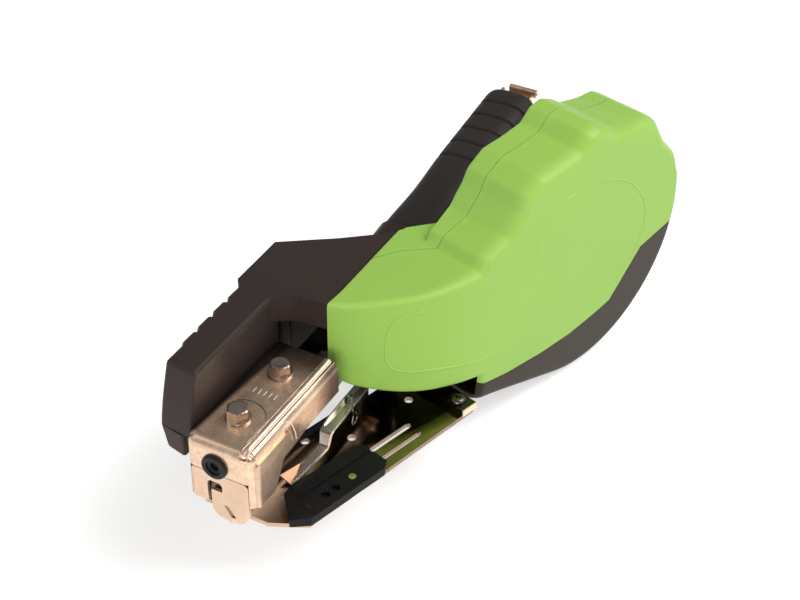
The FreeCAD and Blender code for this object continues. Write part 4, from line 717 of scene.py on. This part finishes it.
pan_mesh = cross_cut(as_mesh(pan), track(SCREW_SEAT[0], 0.0, 0.0), 3.4, 0.8, 5.6, 7.4)
in_a_row("bar_screws", pan_mesh, 2, SCREW_STEP, "foot", DARK_STEEL_AND_PAINTED_SHADE, ("bracket_screws",), 30.0)

BRASS = plated_steel("yellow_plated_rivet", (0.42, 0.46, 0.16), (0.30, 0.33, 0.12), 0.25, 0.40)
rivet_profile = [(1.68, 0.1), (1.68, 6.05), (1.55, 6.3), (1.2, 6.4), (0.6, 6.4)]
rivet = turned(rivet_profile, track(50.6, -19.7, 0.0), "Z", 36)
place_piece("guide_rivet_rear", as_mesh(rivet), "foot", BRASS, ("guide_rivets",))
peg = turned(rivet_profile, track(26.7, -19.7, -0.1), "Z", 36)
place_piece("guide_peg_front", as_mesh(peg), "foot", GUIDE)


# The feed lever: a strip of nickel-plated spring steel, folded at a knee, that presses the caps along the
# track. It turns on a shouldered pin, and a coiled wire with a long eye hangs from its back.
# Along the strip: reach and height of its upper side, then of its lower side, right edge, left edge.
lever_line = [
    (90.0, 15.1, 90.0, 13.8, -17.4, -12.8), (72.0, 14.9, 72.0, 13.6, -17.8, -12.8),
    (54.6, 14.9, 55.2, 13.6, -18.2, -12.8), (53.0, 14.6, 54.3, 13.0, -18.1, -12.9),
    (52.2, 13.9, 53.6, 12.2, -18.0, -13.0), (50.4, 9.4, 52.0, 8.4, -17.9, -13.8),
    (49.6, 8.7, 50.6, 7.2, -17.8, -14.0), (44.0, 8.5, 44.0, 7.0, -17.4, -14.2),
    (34.0, 8.2, 34.0, 6.9, -16.6, -14.4), (29.5, 8.1, 29.5, 6.85, -16.0, -14.5),
    (27.5, 8.0, 27.5, 6.8, -15.6, -14.8),
]
rows = []
for reach, top, low_reach, low, right, left in lever_line:
    rows.append([(low_reach, right, low), (low_reach, left, low), (reach, left, top), (reach, right, top)])
strip = grid_shape(rows)
wing_line = [(86.0, 16.8), (70.0, 16.8), (60.0, 16.5), (55.5, 15.6), (54.6, 14.8)]
wing_rows = []
for reach, top in wing_line:
    wing_rows.append([(reach, -13.55, 14.0), (reach, -12.8, 14.0), (reach, -12.8, top), (reach, -13.55, top)])
wing = grid_shape(wing_rows)
eye = turned([(1.68, 12.8), (3.0, 12.8), (3.2, 13.0), (3.2, 18.0), (3.0, 18.2), (1.68, 18.2)],
             (90.0, 0.0, 15.0), "-Y", 40, None, True)
strip.from_mesh(plain_mesh(wing))
bmesh.ops.scale(strip, vec=(MM, MM, MM), verts=strip.verts)
bmesh.ops.recalc_face_normals(strip, faces=strip.faces)
lever_mesh = bevelled(strip, 0.16, 2, 24.0)
STRIP = plated_steel("feed_strip_plate", (0.92, 0.84, 0.75), (0.80, 0.70, 0.60), 0.16, 0.26, 1100.0, 0.000006,
                     0.85)
place_piece("feed_strip", lever_mesh, "lever", STRIP, ("feed_lever",), 30.0)
place_piece("feed_strip_eye", as_mesh(eye), "lever", NICKEL, (), 30.0)


# The stripper tongue: a small copper-washed plate that slopes down from under the nose to the track.
# It is 0.8 mm thick, with its edges broken.
COPPER = plated_steel("copper_wash", (0.50, 0.28, 0.17), (0.38, 0.20, 0.12), 0.36, 0.48, 900.0, 0.000006,
                      0.85)
points = []
for x, y, z in ((30.1, -7.4, 5.6), (40.2, -11.0, 5.6), (42.6, -12.6, 2.7), (29.8, -13.6, 2.7)):
    points += [(x * MM, y * MM, z * MM), (x * MM, y * MM, (z - 0.8) * MM)]
tongue = hull(points)
bmesh.ops.dissolve_limit(tongue, angle_limit=math.radians(1.0), verts=tongue.verts, edges=tongue.edges)
place_piece("stripper_tongue", bevelled(tongue, 0.15, 2, 30.0), "foot", COPPER)


# The hook on the lever's back: zinc-plated wire, wound into a short coil with a long open eye below it.
# The wire is about 0.8 mm thick; its coil has three turns round a plain stem.
HOOK_AT = (69.6, -16.6)
hook_path = []
COIL_TURNS, COIL_STEPS = 3, 14
for step in range(COIL_TURNS * COIL_STEPS + 1):
    angle = 2 * math.pi * step / COIL_STEPS
    rise = 17.4 + 1.15 * step / COIL_STEPS
    hook_path.append((HOOK_AT[0] + 1.45 * math.cos(angle), HOOK_AT[1] + 1.45 * math.sin(angle), rise))
loop_path = [(71.05, -16.6, 17.4), (70.6, -18.2, 16.9), (68.9, -18.9, 16.0), (68.2, -19.1, 14.6),
             (68.4, -19.3, 12.6), (67.6, -19.5, 10.8), (66.9, -19.6, 9.6), (67.2, -19.7, 8.8),
             (68.3, -19.8, 8.5), (69.6, -19.9, 9.2), (70.5, -19.9, 10.6), (70.4, -19.7, 12.2),
             (69.2, -19.3, 14.2)]


def through(points, between=6):
    """A smooth path through points."""
    spots = [Vector(p) for p in points]
    spots = [spots[0] * 2 - spots[1]] + spots + [spots[-1] * 2 - spots[-2]]
    path = []
    for index in range(1, len(spots) - 2):
        a, b, c, d = spots[index - 1:index + 3]
        for step in range(between):
            t = step / between
            path.append(0.5 * (2 * b + (c - a) * t + (2 * a - 5 * b + 4 * c - d) * t * t
                               + (3 * b - a - 3 * c + d) * t ** 3))
    path.append(spots[-2])
    return path


bar("hook_wire", hook_path[::-1] + through(loop_path), 0.38, "lever", DARK_STEEL_AND_PAINTED_SHADE, 8, ("lever_hook",))
hook_stem = [(69.6, -16.6, 15.2), (69.6, -16.6, 18.0), (69.6, -16.6, 20.4)]
bar("hook_stem", hook_stem, 0.7, "lever", SPRING_STEEL_AND_PAINTED_SHADE, 12)


# The black housing: glass-filled nylon, moulded with a fine grain; an upper shell with the fore-shroud beside
# the nose and a lower tray, screwed together, their outer edges well rounded.
BLACK = moulded("black_nylon", (0.042, 0.028, 0.0255), (0.075, 0.055, 0.051), 0.42, 0.54, 2400.0, 0.00003,
                0.90, 0.21,
                 0.82, 0.98)
SHROUD_TOP, SHROUD_SEAM, SHROUD_LOW, SHROUD_REAR = 63.0, 34.05, 22.2, 65.6
SHROUD_INNER, SHROUD_OUTER, SHROUD_FRONT = 15.7, 29.5, 10.8
SERRATION = ((23.0, 0.0), (25.0, 1.0), (31.6, 1.0), (32.0, 0.0), (33.2, 0.0), (35.9, 1.3), (42.4, 1.3),
             (42.8, 0.1), (44.2, 0.1), (46.7, 1.5), (53.0, 1.5), (53.4, 0.2), (54.8, 0.2), (57.2, 1.5))
CORNER_STEPS = 6
SLANT = 1.5


def shroud_outline(front, inner, outer, high, inset, front_round=2.0):
    """One level of the fore-shroud: round front corners, a saw-tooth grip along its outer side."""
    front, inner, outer = front + inset, inner + inset - 0.7 * max(0.0, (high - 57.0) / 6.0), outer - inset
    rear = SHROUD_REAR
    ring = [(rear, inner)]
    for (x, y), size, start in (((front + 1.1, inner + 1.1), 1.1, 270.0),
                                ((front + SLANT + front_round, outer - front_round), front_round, 180.0)):
        for step in range(CORNER_STEPS + 1):
            turn = math.radians(start - 90.0 * step / CORNER_STEPS)
            ring.append((x + size * math.cos(turn), y + size * math.sin(turn)))
    ring += [(x, outer + out) for x, out in SERRATION]
    ring.append((rear, outer + 1.4))
    return [(x, y, high) for x, y in ring]


def leaning(high):
    """How far the shroud has leaned out at a height: 0 at its top, 1 at the seam."""
    down = (SHROUD_TOP - high) / (SHROUD_TOP - SHROUD_SEAM)
    return down * 0.55 + math.sin(down * math.pi / 2) * 0.45


LEAN_FRONT, LEAN_SIDE = 5.0, 1.8


def shroud_level(high, inset=0.0):
    share = leaning(high)
    front, outer = SHROUD_FRONT - LEAN_FRONT * share, SHROUD_OUTER + LEAN_SIDE * share
    return shroud_outline(front, SHROUD_INNER, outer, high, inset, 1.7)


TOP_ROUND = 1.9
ROUND_FROM = SHROUD_TOP - TOP_ROUND
upper_rows = [shroud_level(SHROUD_SEAM + (ROUND_FROM - SHROUD_SEAM) * step / 10) for step in range(11)]
for step in range(1, 7):
    turn = math.pi / 2 * step / 6
    upper_rows.append(shroud_level(ROUND_FROM + TOP_ROUND * math.sin(turn), TOP_ROUND * (1 - math.cos(turn))))
LOW_ROUND = 1.5
lower_rows = []
for step in range(6, 0, -1):
    turn = math.pi / 2 * step / 6
    level = SHROUD_LOW + LOW_ROUND - LOW_ROUND * math.sin(turn)
    lower_rows.append(shroud_outline(6.2, 19.6, 29.6, level, LOW_ROUND * (1 - math.cos(turn))))
for level, lean in ((26.0, 0.2), (29.0, 0.5), (32.0, 0.85), (33.7, 1.0)):
    lower_rows.append(shroud_outline(6.2 - 0.4 * lean, 19.6, 29.6 + 1.7 * lean, level, 0.0, 1.7))


def box_corners(low, high):
    return [(x, y, z) for x in (low[0], high[0]) for y in (low[1], high[1]) for z in (low[2], high[2])]


def reshaped(node, cut_low, cut_high, rows, width, name):
    """A housing half whose boxy fore-shroud is moulded again with its real lean and roundings."""
    rest = combined(plain_mesh(solid_of(node)), as_mesh(hull(box_corners(cut_low, cut_high))), "DIFFERENCE")
    eased_rest = bevelled(as_shape(rest), width, 3, 34.0)
    whole = combined(eased_rest, as_mesh(grid_shape(rows)), "UNION")
    place_piece(name, whole, "housing", BLACK, (node,), 38.0)


reshaped("main_housing", (0.0, 12.0, 33.0), (63.0, 36.0, 66.0), upper_rows, 1.5, "upper_shell")
reshaped("lower_housing", (0.0, 12.0, 22.0), (63.0, 36.0, 35.0), lower_rows, 0.6, "lower_tray")


# The handle: the same black nylon over a steel core, under a rubber sleeve with five grooves near its end.
# The sleeve's section is a soft rectangle with a slight waist in front of the grooves.
GRIP = moulded("grip_rubber", (0.028, 0.023, 0.021), (0.055, 0.046, 0.044), 0.50, 0.62, 1700.0, 0.00005, 0.88,
               0.26)
eased("handle_shell", BLACK, 0.7, 3, 30.0)
SLOPE = math.radians(7.28)
HANDLE_RISE = 13.6


def handle(reach, side, high):
    """A point in the climbing handle's own directions (millimetres)."""
    return Vector((reach * math.cos(SLOPE) - high * math.sin(SLOPE), side + BOLT_SIDE,
                   HANDLE_RISE + reach * math.sin(SLOPE) + high * math.cos(SLOPE)))


GRIP_START, GRIP_END = 156.05, 264.8
GRIP_HALF, GRIP_TALL = 13.4, 15.4
GROOVES = [252.8, 241.8, 230.8, 219.8, 208.8]
GROOVE_HALF, GROOVE_DEEP = 0.95, 1.1
AROUND = 88
SQUARENESS = 3.4


def grip_section(reach, inward):
    ring = []
    for index in range(AROUND):
        angle = 2 * math.pi * index / AROUND
        c, s = math.cos(angle), math.sin(angle)
        x = math.copysign(abs(c) ** (2 / SQUARENESS), c) * (GRIP_HALF - inward)
        z = math.copysign(abs(s) ** (2 / SQUARENESS), s) * (GRIP_TALL - inward)
        ring.append(handle(reach, x, z))
    return ring


GROOVE_STEPS = (-3.2, -1.5, -1.15, -0.9, -0.6, 0, 0.6, 0.9, 1.15, 1.5, 3.2)
stations = [GRIP_START, GRIP_START + 0.25, GRIP_START + 0.7, GRIP_START + 1.6]
stations += [160 + 4.0 * step for step in range(11)]
for middle in GROOVES[::-1]:
    stations += [middle + GROOVE_HALF * step for step in GROOVE_STEPS]
stations += [GRIP_END - back for back in (5.0, 3.4, 2.2, 1.3, 0.6, 0.2, 0.0)]
END_ROUND, END_INSET = 5.0, 1.95
outer_rows = []
for reach in sorted(stations):
    inward = 0.75 * math.exp(-((reach - 184.0) / 17.0) ** 2)
    for middle in GROOVES:
        inward += GROOVE_DEEP * math.exp(-((reach - middle) / GROOVE_HALF) ** 4)
    near_end = max(0.0, reach - (GRIP_END - END_ROUND)) / END_ROUND
    inward += END_INSET * (1 - math.sqrt(max(0.0, 1 - near_end ** 2)))
    near_start = max(0.0, GRIP_START + 0.7 - reach) / 0.7
    inward += 0.7 * (1 - math.sqrt(max(0.0, 1 - near_start ** 2)))
    outer_rows.append(grip_section(reach, inward))
inner_rows = [grip_section(reach, 1.96) for reach in (GRIP_END - 0.02, GRIP_START + 0.02)]
sleeve = grid_shape(outer_rows + inner_rows, closed_rows=True)
place_piece("grip_with_grooves", as_mesh(sleeve), "housing", GRIP, ("grip_sleeve",), 50.0)

# The steel end of the handle and its swinging tab, punched from sheet and plated like the nose.
# The end plate's lip is rolled round a fine hole that runs from side to side.
eased("end_plate", NICKEL, 0.30)
eased("end_latch", NICKEL, 0.30, 3)
LIP_SIDES, LIP_AT, LIP_HOLE = (-10.9, 3.1), (268.6, 13.1), 0.75


def lip_ring(side, hole):
    """The lip's flat-sided section, or the hole rolled into it."""
    ring = []
    for index in range(32):
        angle = 2 * math.pi * index / 32
        c, s = math.cos(angle), math.sin(angle)
        if hole:
            ring.append(handle(LIP_AT[0] + LIP_HOLE * c, side, LIP_AT[1] + LIP_HOLE * s))
        else:
            ring.append(handle(LIP_AT[0] + 1.25 * math.copysign(abs(c) ** 0.45, c), side,
                               LIP_AT[1] + 1.9 * math.copysign(abs(s) ** 0.45, s)))
    return ring


lip = grid_shape([lip_ring(LIP_SIDES[0], True), lip_ring(LIP_SIDES[0], False), lip_ring(LIP_SIDES[1], False),
                  lip_ring(LIP_SIDES[1], True)], closed_rows=True)
place_piece("end_plate_rolled_lip", as_mesh(lip), "housing", NICKEL, (), 30.0)

# The magazine: a drum and wedge moulded in green, its lower rim in black, 2.6 mm thick. Its outer half is a
# door on a hinge behind the drum; the crown is stepped in flats whose edges are widely rounded.
AXIS_REACH, AXIS_HEIGHT = 200.0, 40.0
DRUM_RADIUS, DRUM_FACE, DRUM_BACK, WALL = 65.0, -15.85, 19.5, 2.6
TANGENT_DEGREES = 253.1
CROWN = (
    (128.4, 63.2), (131.2, 67.4), (145.0, 72.2), (152.3, 80.3), (155.5, 86.2), (164.6, 91.8), (175.6, 92.4),
    (188.0, 94.2), (193.6, 99.6), (200.2, 101.1), (206.6, 98.4), (213.6, 93.8), (227.0, 90.9), (236.0, 90.5),
    (242.0, 87.0), (246.5, 79.6), (250.2, 73.6), (259.3, 64.1),
)
CROWN_END = 10.6
WEDGE_EDGE = ((128.0, -6.2), (130.0, 6.0), (104.5, 12.2), (87.0, 16.3), (74.0, 22.4), (71.0, 29.0),
              (70.0, 34.0), (70.0, 63.0))
EDGE_ROUNDING = (2.0, 1.5, 6.0, 7.0, 4.0, 2.5, 1.2, 1.5)
CROWN_ROUNDING = 1.1
FACE_LINE = ((70.0, 13.8), (76.7, 5.9), (85.0, -0.4), (98.7, -9.0), (115.0, -14.0), (133.0, -15.85))


def face_side(reach):
    """How far across the track the magazine's curved face stands."""
    if reach >= FACE_LINE[-1][0]:
        return DRUM_FACE
    xs = [p[0] for p in FACE_LINE]
    ks = [p[1] for p in FACE_LINE]
    slopes = [(b - a) / (d - c) for a, b, c, d in zip(ks, ks[1:], xs, xs[1:])]
    ends = [slopes[0]] + [(a + b) / 2 for a, b in zip(slopes, slopes[1:])] + [0.0]
    index = max(i for i in range(len(xs) - 1) if i == 0 or xs[i] <= reach)
    span = xs[index + 1] - xs[index]
    t = (reach - xs[index]) / span
    return ((2 * t ** 3 - 3 * t * t + 1) * ks[index] + (t ** 3 - 2 * t * t + t) * span * ends[index]
            + (3 * t * t - 2 * t ** 3) * ks[index + 1] + (t ** 3 - t * t) * span * ends[index + 1])


TAPER_END = 146.0


def back_side(reach):
    """Where the magazine ends towards the housing and the handle."""
    beside = (-6.2 + math.sin(TURN) * reach) / math.cos(TURN)
    if reach <= 126.5:
        return beside
    if reach <= TAPER_END:
        return 30.75 + (DRUM_BACK - 30.75) * (reach - 126.5) / (TAPER_END - 126.5)
    return DRUM_BACK


def drum_point(degrees, radius):
    turn = math.radians(degrees)
    return Vector((AXIS_REACH + radius * math.cos(turn), AXIS_HEIGHT + radius * math.sin(turn)))


def drum_corners(inward):
    ring = [drum_point(TANGENT_DEGREES, DRUM_RADIUS)] + [Vector(p) for p in WEDGE_EDGE]
    ring += [Vector(p) for p in CROWN] + [drum_point(CROWN_END, DRUM_RADIUS)]
    moved = [drum_point(TANGENT_DEGREES, DRUM_RADIUS - inward)]
    for before, corner, after in zip(ring, ring[1:], ring[2:]):
        one, two = (corner - before).normalized(), (after - corner).normalized()
        normal = Vector((one.y + two.y, -one.x - two.x)).normalized()
        size = inward / max(normal.dot(Vector((one.y, -one.x))), 0.5)
        moved.append(corner + normal * size)
    return moved + [drum_point(CROWN_END, DRUM_RADIUS - inward)]


def drum_line(inward):
    """The magazine's outline with its corners rounded; every inset has the same number of points."""
    corners = drum_corners(inward)
    base = drum_corners(0.0)
    reaches = list(EDGE_ROUNDING) + [CROWN_ROUNDING] * len(CROWN)
    points = [corners[0]]
    previous = corners[0]
    for index in range(1, len(corners) - 1):
        corner = corners[index]
        before, after = corners[index - 1] - corner, corners[index + 1] - corner
        wish = reaches[index - 1] + inward * 0.35
        reach = min(wish, before.length * 0.46, after.length * 0.46)
        start, end = corner + before.normalized() * reach, corner + after.normalized() * reach
        parts = max(1, int((base[index] - base[index - 1]).length / 5.0))
        edge = min(0.10, 0.5 / max((start - previous).length, 0.6))
        shares = [edge] + [step / parts for step in range(1, parts)] + [1.0 - edge, 1.0]
        points += [previous.lerp(start, share) for share in shares]
        for step in range(1, 7):
            t = step / 6
            points.append(start * (1 - t) ** 2 + corner * 2 * t * (1 - t) + end * t * t)
        previous = end
    parts = 3
    points += [previous.lerp(corners[-1], step / parts) for step in range(1, parts + 1)]
    first, last = CROWN_END, TANGENT_DEGREES - 360.0
    count = 64
    turns = [first + (last - first) * step / count for step in range(1, count)]
    points += [drum_point(degrees, DRUM_RADIUS - inward) for degrees in turns]
    return points


def drum_solid(wall, depth, inset, back_round):
    """The closed drum and wedge, set in by a wall; its front shoulder falls away by a quarter ellipse."""
    rim = drum_line(wall)
    brow = drum_line(wall + inset)
    rows = []
    scales = (0.04, 0.12, 0.22, 0.34, 0.46, 0.54, 0.62, 0.70, 0.76, 0.82, 0.88, 0.93, 0.97)
    axis = Vector((AXIS_REACH, AXIS_HEIGHT))

    def front_k(x):
        return face_side(x) + wall

    def back_k(x):
        return back_side(x) - wall

    def between(x):
        return max(back_k(x) - front_k(x), 0.1)

    def share(x):
        t = min(1.0, max(0.0, (x - SHOULDER_FROM) / (SHOULDER_TO - SHOULDER_FROM)))
        return SHOULDER_LEAST + SHOULDER_GAIN * t * t * (3 - 2 * t)

    front = [rim_p.lerp(brow_p, share(rim_p.x)) for rim_p, brow_p in zip(rim, brow)]
    for scale in scales:
        spots = [axis + (p - axis) * scale for p in front]
        rows.append([track(p.x, front_k(p.x), p.y) for p in spots])
    for step in range(8, -1, -1):
        turn = math.pi / 2 * step / 8
        row = []
        for rim_p, front_p in zip(rim, front):
            p = rim_p.lerp(front_p, 1 - math.cos(turn))
            deep = min(depth * share(rim_p.x), between(p.x) * 0.7)
            row.append(track(p.x, front_k(p.x) + deep * (1 - math.sin(turn)), p.y))
        rows.append(row)
    for part in (0.33, 0.66):
        row = []
        for p in rim:
            start = front_k(p.x) + min(depth * share(p.x), between(p.x) * 0.7)
            row.append(track(p.x, start + (back_k(p.x) - start) * part, p.y))
        rows.append(row)
    for step in range(0, 5):
        turn = math.pi / 2 * step / 4
        row = []
        for rim_p, brow_p in zip(rim, drum_line(wall + back_round)):
            p = rim_p.lerp(brow_p, 1 - math.cos(turn))
            round_k = min(back_round, between(p.x) * 0.1)
            row.append(track(p.x, back_k(p.x) - round_k * (1 - math.sin(turn)), p.y))
        rows.append(row)
    inner = drum_line(wall + back_round)
    for scale in scales[::-1]:
        spots = [axis + (p - axis) * scale for p in inner]
        rows.append([track(p.x, back_k(p.x), p.y) for p in spots])
    return as_mesh(grid_shape(rows))


def track_prism(points, low, high, upright):
    """A prism on an outline set along the track: upright outlines stand on edge, others lie flat."""
    rows = [[track(x, level, y) if upright else track(x, y, level) for x, y in points]
            for level in (low, high)]
    return as_mesh(grid_shape(rows))


SHOULDER_DEPTH, SHOULDER_INSET, BACK_ROUND = 8.4, 4.4, 1.6
SHOULDER_FROM, SHOULDER_TO, SHOULDER_LEAST, SHOULDER_GAIN = 96.0, 142.0, 0.42, 0.58
CROWN_FOOT = 63.23
shell = drum_solid(0.0, SHOULDER_DEPTH, SHOULDER_INSET, BACK_ROUND)
room = drum_solid(WALL, SHOULDER_DEPTH, SHOULDER_INSET, 0.4)
# The crown's far side narrows to the front, and behind it the wedge's flat top runs on.
far_side = [(120.0, 15.8), (133.0, 16.4), (152.0, DRUM_BACK + 0.06), (152.0, 40.0), (120.0, 40.0)]
far_inside = [(120.0, 15.8 - WALL), (133.0, 16.4 - WALL), (152.0, DRUM_BACK + 0.06 - WALL), (152.0, 42.0),
              (120.0, 42.0)]
shell = combined(shell, track_prism(far_side, CROWN_FOOT, 90.0, False), "DIFFERENCE")
room = combined(room, track_prism(far_inside, CROWN_FOOT - WALL, 92.0, False), "DIFFERENCE")
shell = combined(shell, room, "DIFFERENCE")
wedge_reaches = (72.0, 76.0, 80.0, 85.0, 92.0, 99.0, 107.0, 115.0, 124.0)
inside_front = [(66.0, 18.4)] + [(x, face_side(x) + WALL * 1.25) for x in wedge_reaches]
wedge_room = inside_front + [(124.0, 65.0), (62.0, 65.0), (62.0, 18.4)]
shell = combined(shell, track_prism(wedge_room, -60.0, 60.4, False), "DIFFERENCE")
mouth = track_prism([(119.0, -13.4), (134.0, -13.4), (134.0, 16.9), (119.0, 16.9)], -3.4, 16.0, False)
shell = combined(shell, mouth, "DIFFERENCE")

# The halves part along a line across the drum, and each half along a line round its face.
SPLIT, DOOR_FRONT = 0.15, 102.0
DOOR_LINE = ((DOOR_FRONT, 60.0), (DOOR_FRONT, 24.0), (116.0, 19.0), (128.0, 9.5), (150.0, 8.5), (285.0, 8.5))
SHELL_LINE = ((122.0, 7.5), (131.0, 3.0), (147.0, 0.0), (170.0, -2.0), (190.0, -2.2), (208.0, 0.0),
              (218.0, 2.0), (238.0, 22.0), (258.5, 26.0), (278.0, 29.6))

near_side = [along(108.0, -6.5), along(40.0, -6.5)]
door_zone = [(5.0, -90.0), (285.0, -90.0)]
door_zone += [(x - (SPLIT if x == DOOR_FRONT else 0.0), k - SPLIT) for x, k in DOOR_LINE[:0:-1]]
door_zone += [(DOOR_FRONT - SPLIT, near_side[0][1]), (5.0, near_side[1][1])]
base_zone = [(x + (SPLIT if x == DOOR_FRONT else 0.0), k + SPLIT) for x, k in DOOR_LINE]
base_zone += [(285.0, 90.0), (DOOR_FRONT + SPLIT, 90.0)]
above_zone = [(5.0, -80.0), (122.0, -80.0)] + [(x, z + SPLIT) for x, z in SHELL_LINE]
above_zone += [(278.0, 130.0), (5.0, 130.0)]
below_zone = [(122.0 + SPLIT, -80.0)] + [(x, z - SPLIT) for x, z in SHELL_LINE] + [(278.0, -80.0)]

door_shell = combined(shell.copy(), track_prism(door_zone, -90.0, 130.0, False), "INTERSECT")
base_shell = combined(shell, track_prism(base_zone, -90.0, 130.0, False), "INTERSECT")
GREEN = moulded("green_shell", (0.345, 0.600, 0.105), (0.42, 0.67, 0.17), 0.36, 0.46, 2600.0, 0.00002, 0.96,
                0.30)
RIM = moulded("black_rim", (0.038, 0.026, 0.017), (0.09, 0.070, 0.060), 0.34, 0.44, 2400.0, 0.00003, 0.90,
              0.19)
for name, half, zone, body, slot, finish, node in (
        ("door_green", door_shell, above_zone, "door", "green_moulding", GREEN, "magazine_cover"),
        ("door_black_rim", door_shell, below_zone, "door", "black_moulding", RIM, "cover_lower"),
        ("base_green", base_shell, above_zone, "housing", "green_moulding", GREEN, "magazine_base"),
        ("base_black_rim", base_shell, below_zone, "housing", "black_moulding", RIM, "magazine_lower")):
    part = combined(half.copy(), track_prism(zone, -120.0, 120.0, True), "INTERSECT")
    place_piece(name, part, body, finish, (node,), 38.0)


def track_block(low, high):
    """A block set along the track, in metres, ready for its edges to be eased."""
    shape = hull([track(*corner) * MM for corner in box_corners(low, high)])
    bmesh.ops.dissolve_limit(shape, angle_limit=math.radians(1.0), verts=shape.verts, edges=shape.edges)
    return shape


# Hinge and latch rails, moulded on the magazine in the same green, and what they carry: the latch in black
# nylon, the reel in white and its axle in steel.
HINGE_AT, HINGE_RADIUS, HINGE_BORE = (268.4, 8.5), 3.2, 1.52


def knuckle(name, low, high, body):
    profile = [(HINGE_BORE, low), (HINGE_RADIUS - 0.3, low), (HINGE_RADIUS, low + 0.3),
               (HINGE_RADIUS, high - 0.3),
               (HINGE_RADIUS - 0.3, high), (HINGE_BORE, high)]
    rows = turned(profile, track(*HINGE_AT, 0.0), "Z", 40, None, True)
    place_piece(name, as_mesh(rows), body, GREEN)


knuckle("hinge_knuckle_door", 36.2, 43.8, "door")
knuckle("hinge_knuckle_low", 26.0, 35.9, "housing")
knuckle("hinge_knuckle_high", 44.1, 54.0, "housing")
for name, low, high, body in (
        ("hinge_arm_door", (262.6, 3.8, 36.2), (266.8, 8.2, 43.8), "door"),
        ("hinge_arm_low", (262.6, 8.8, 26.0), (266.8, 13.2, 35.9), "housing"),
        ("hinge_arm_high", (262.6, 8.8, 44.1), (266.8, 13.2, 54.0), "housing"),
        ("latch_rail_low", (138.0, 18.2, 39.2), (166.0, 21.7, 40.6), "housing"),
        ("latch_rail_high", (138.0, 18.2, 47.4), (166.0, 21.7, 48.8), "housing")):
    place_piece(name, bevelled(track_block(low, high), 0.35, 2, 30.0), body, GREEN)
eased("cover_latch", BLACK, 0.35, 2)
eased("cap_reel", moulded("reel_white", (0.72, 0.72, 0.68), (0.80, 0.80, 0.76), 0.35, 0.50), 0.4, 2)
eased("reel_axle", SPRING_STEEL_AND_PAINTED_SHADE, 0.3, 2)

# The line moulded into the door's face: a low rounded step that runs back from the wedge and round the drum.
# It stands 0.3 mm proud of the face.
LINE_POINTS = ((100.8, 56.0), (93.1, 55.5), (89.4, 52.1), (87.6, 46.8), (87.0, 40.8), (87.1, 35.0),
               (88.1, 31.2), (90.5, 27.9), (97.4, 25.6), (107.2, 23.5), (127.9, 17.6), (152.6, 10.5),
               (172.2, 7.0), (187.8, 6.2), (214.3, 9.6), (230.4, 18.0), (237.6, 31.0), (237.9, 43.9),
               (231.3, 55.9), (222.1, 64.8), (210.0, 71.1), (197.3, 74.9), (184.0, 75.4), (172.6, 72.4),
               (164.9, 66.0), (161.5, 56.0))
line_spots = through([(x, z, 0.0) for x, z in LINE_POINTS], 8)
line_path = [track(p.x, face_side(p.x) + 0.22, p.y) for p in line_spots]
bar("face_step_line", line_path, 0.52, "door", GREEN, 8)


# Everything else is seen only from below, from behind or with the door open, and keeps its plain form.
# Each such piece takes the finish of its slot; the mechanism's pieces inside the housing take the dark steel
# as painted shade.
PAINTED_SHADE_NODES = ("driver_yoke", "driver_blade", "pivot_pin", "return_spring", "rail_hanger")
KEPT_FINISH = {"zinc_steel": ZINC, "spring_steel": SPRING_STEEL_AND_PAINTED_SHADE, "nickel_steel": NICKEL, "dark_plate": PLATE,
               "black_moulding": BLACK, "guide_moulding": GUIDE, "green_moulding": GREEN, "grip_rubber": GRIP,
               "bumper_rubber": RUBBER, "reel_moulding": GREEN}
for node, thing in frame["nodes"].items():
    if not thing.hide_render:
        for place in thing.material_slots:
            place.material = DARK_STEEL_AND_PAINTED_SHADE if node in PAINTED_SHADE_NODES else KEPT_FINISH[SLOT_OF[node]]
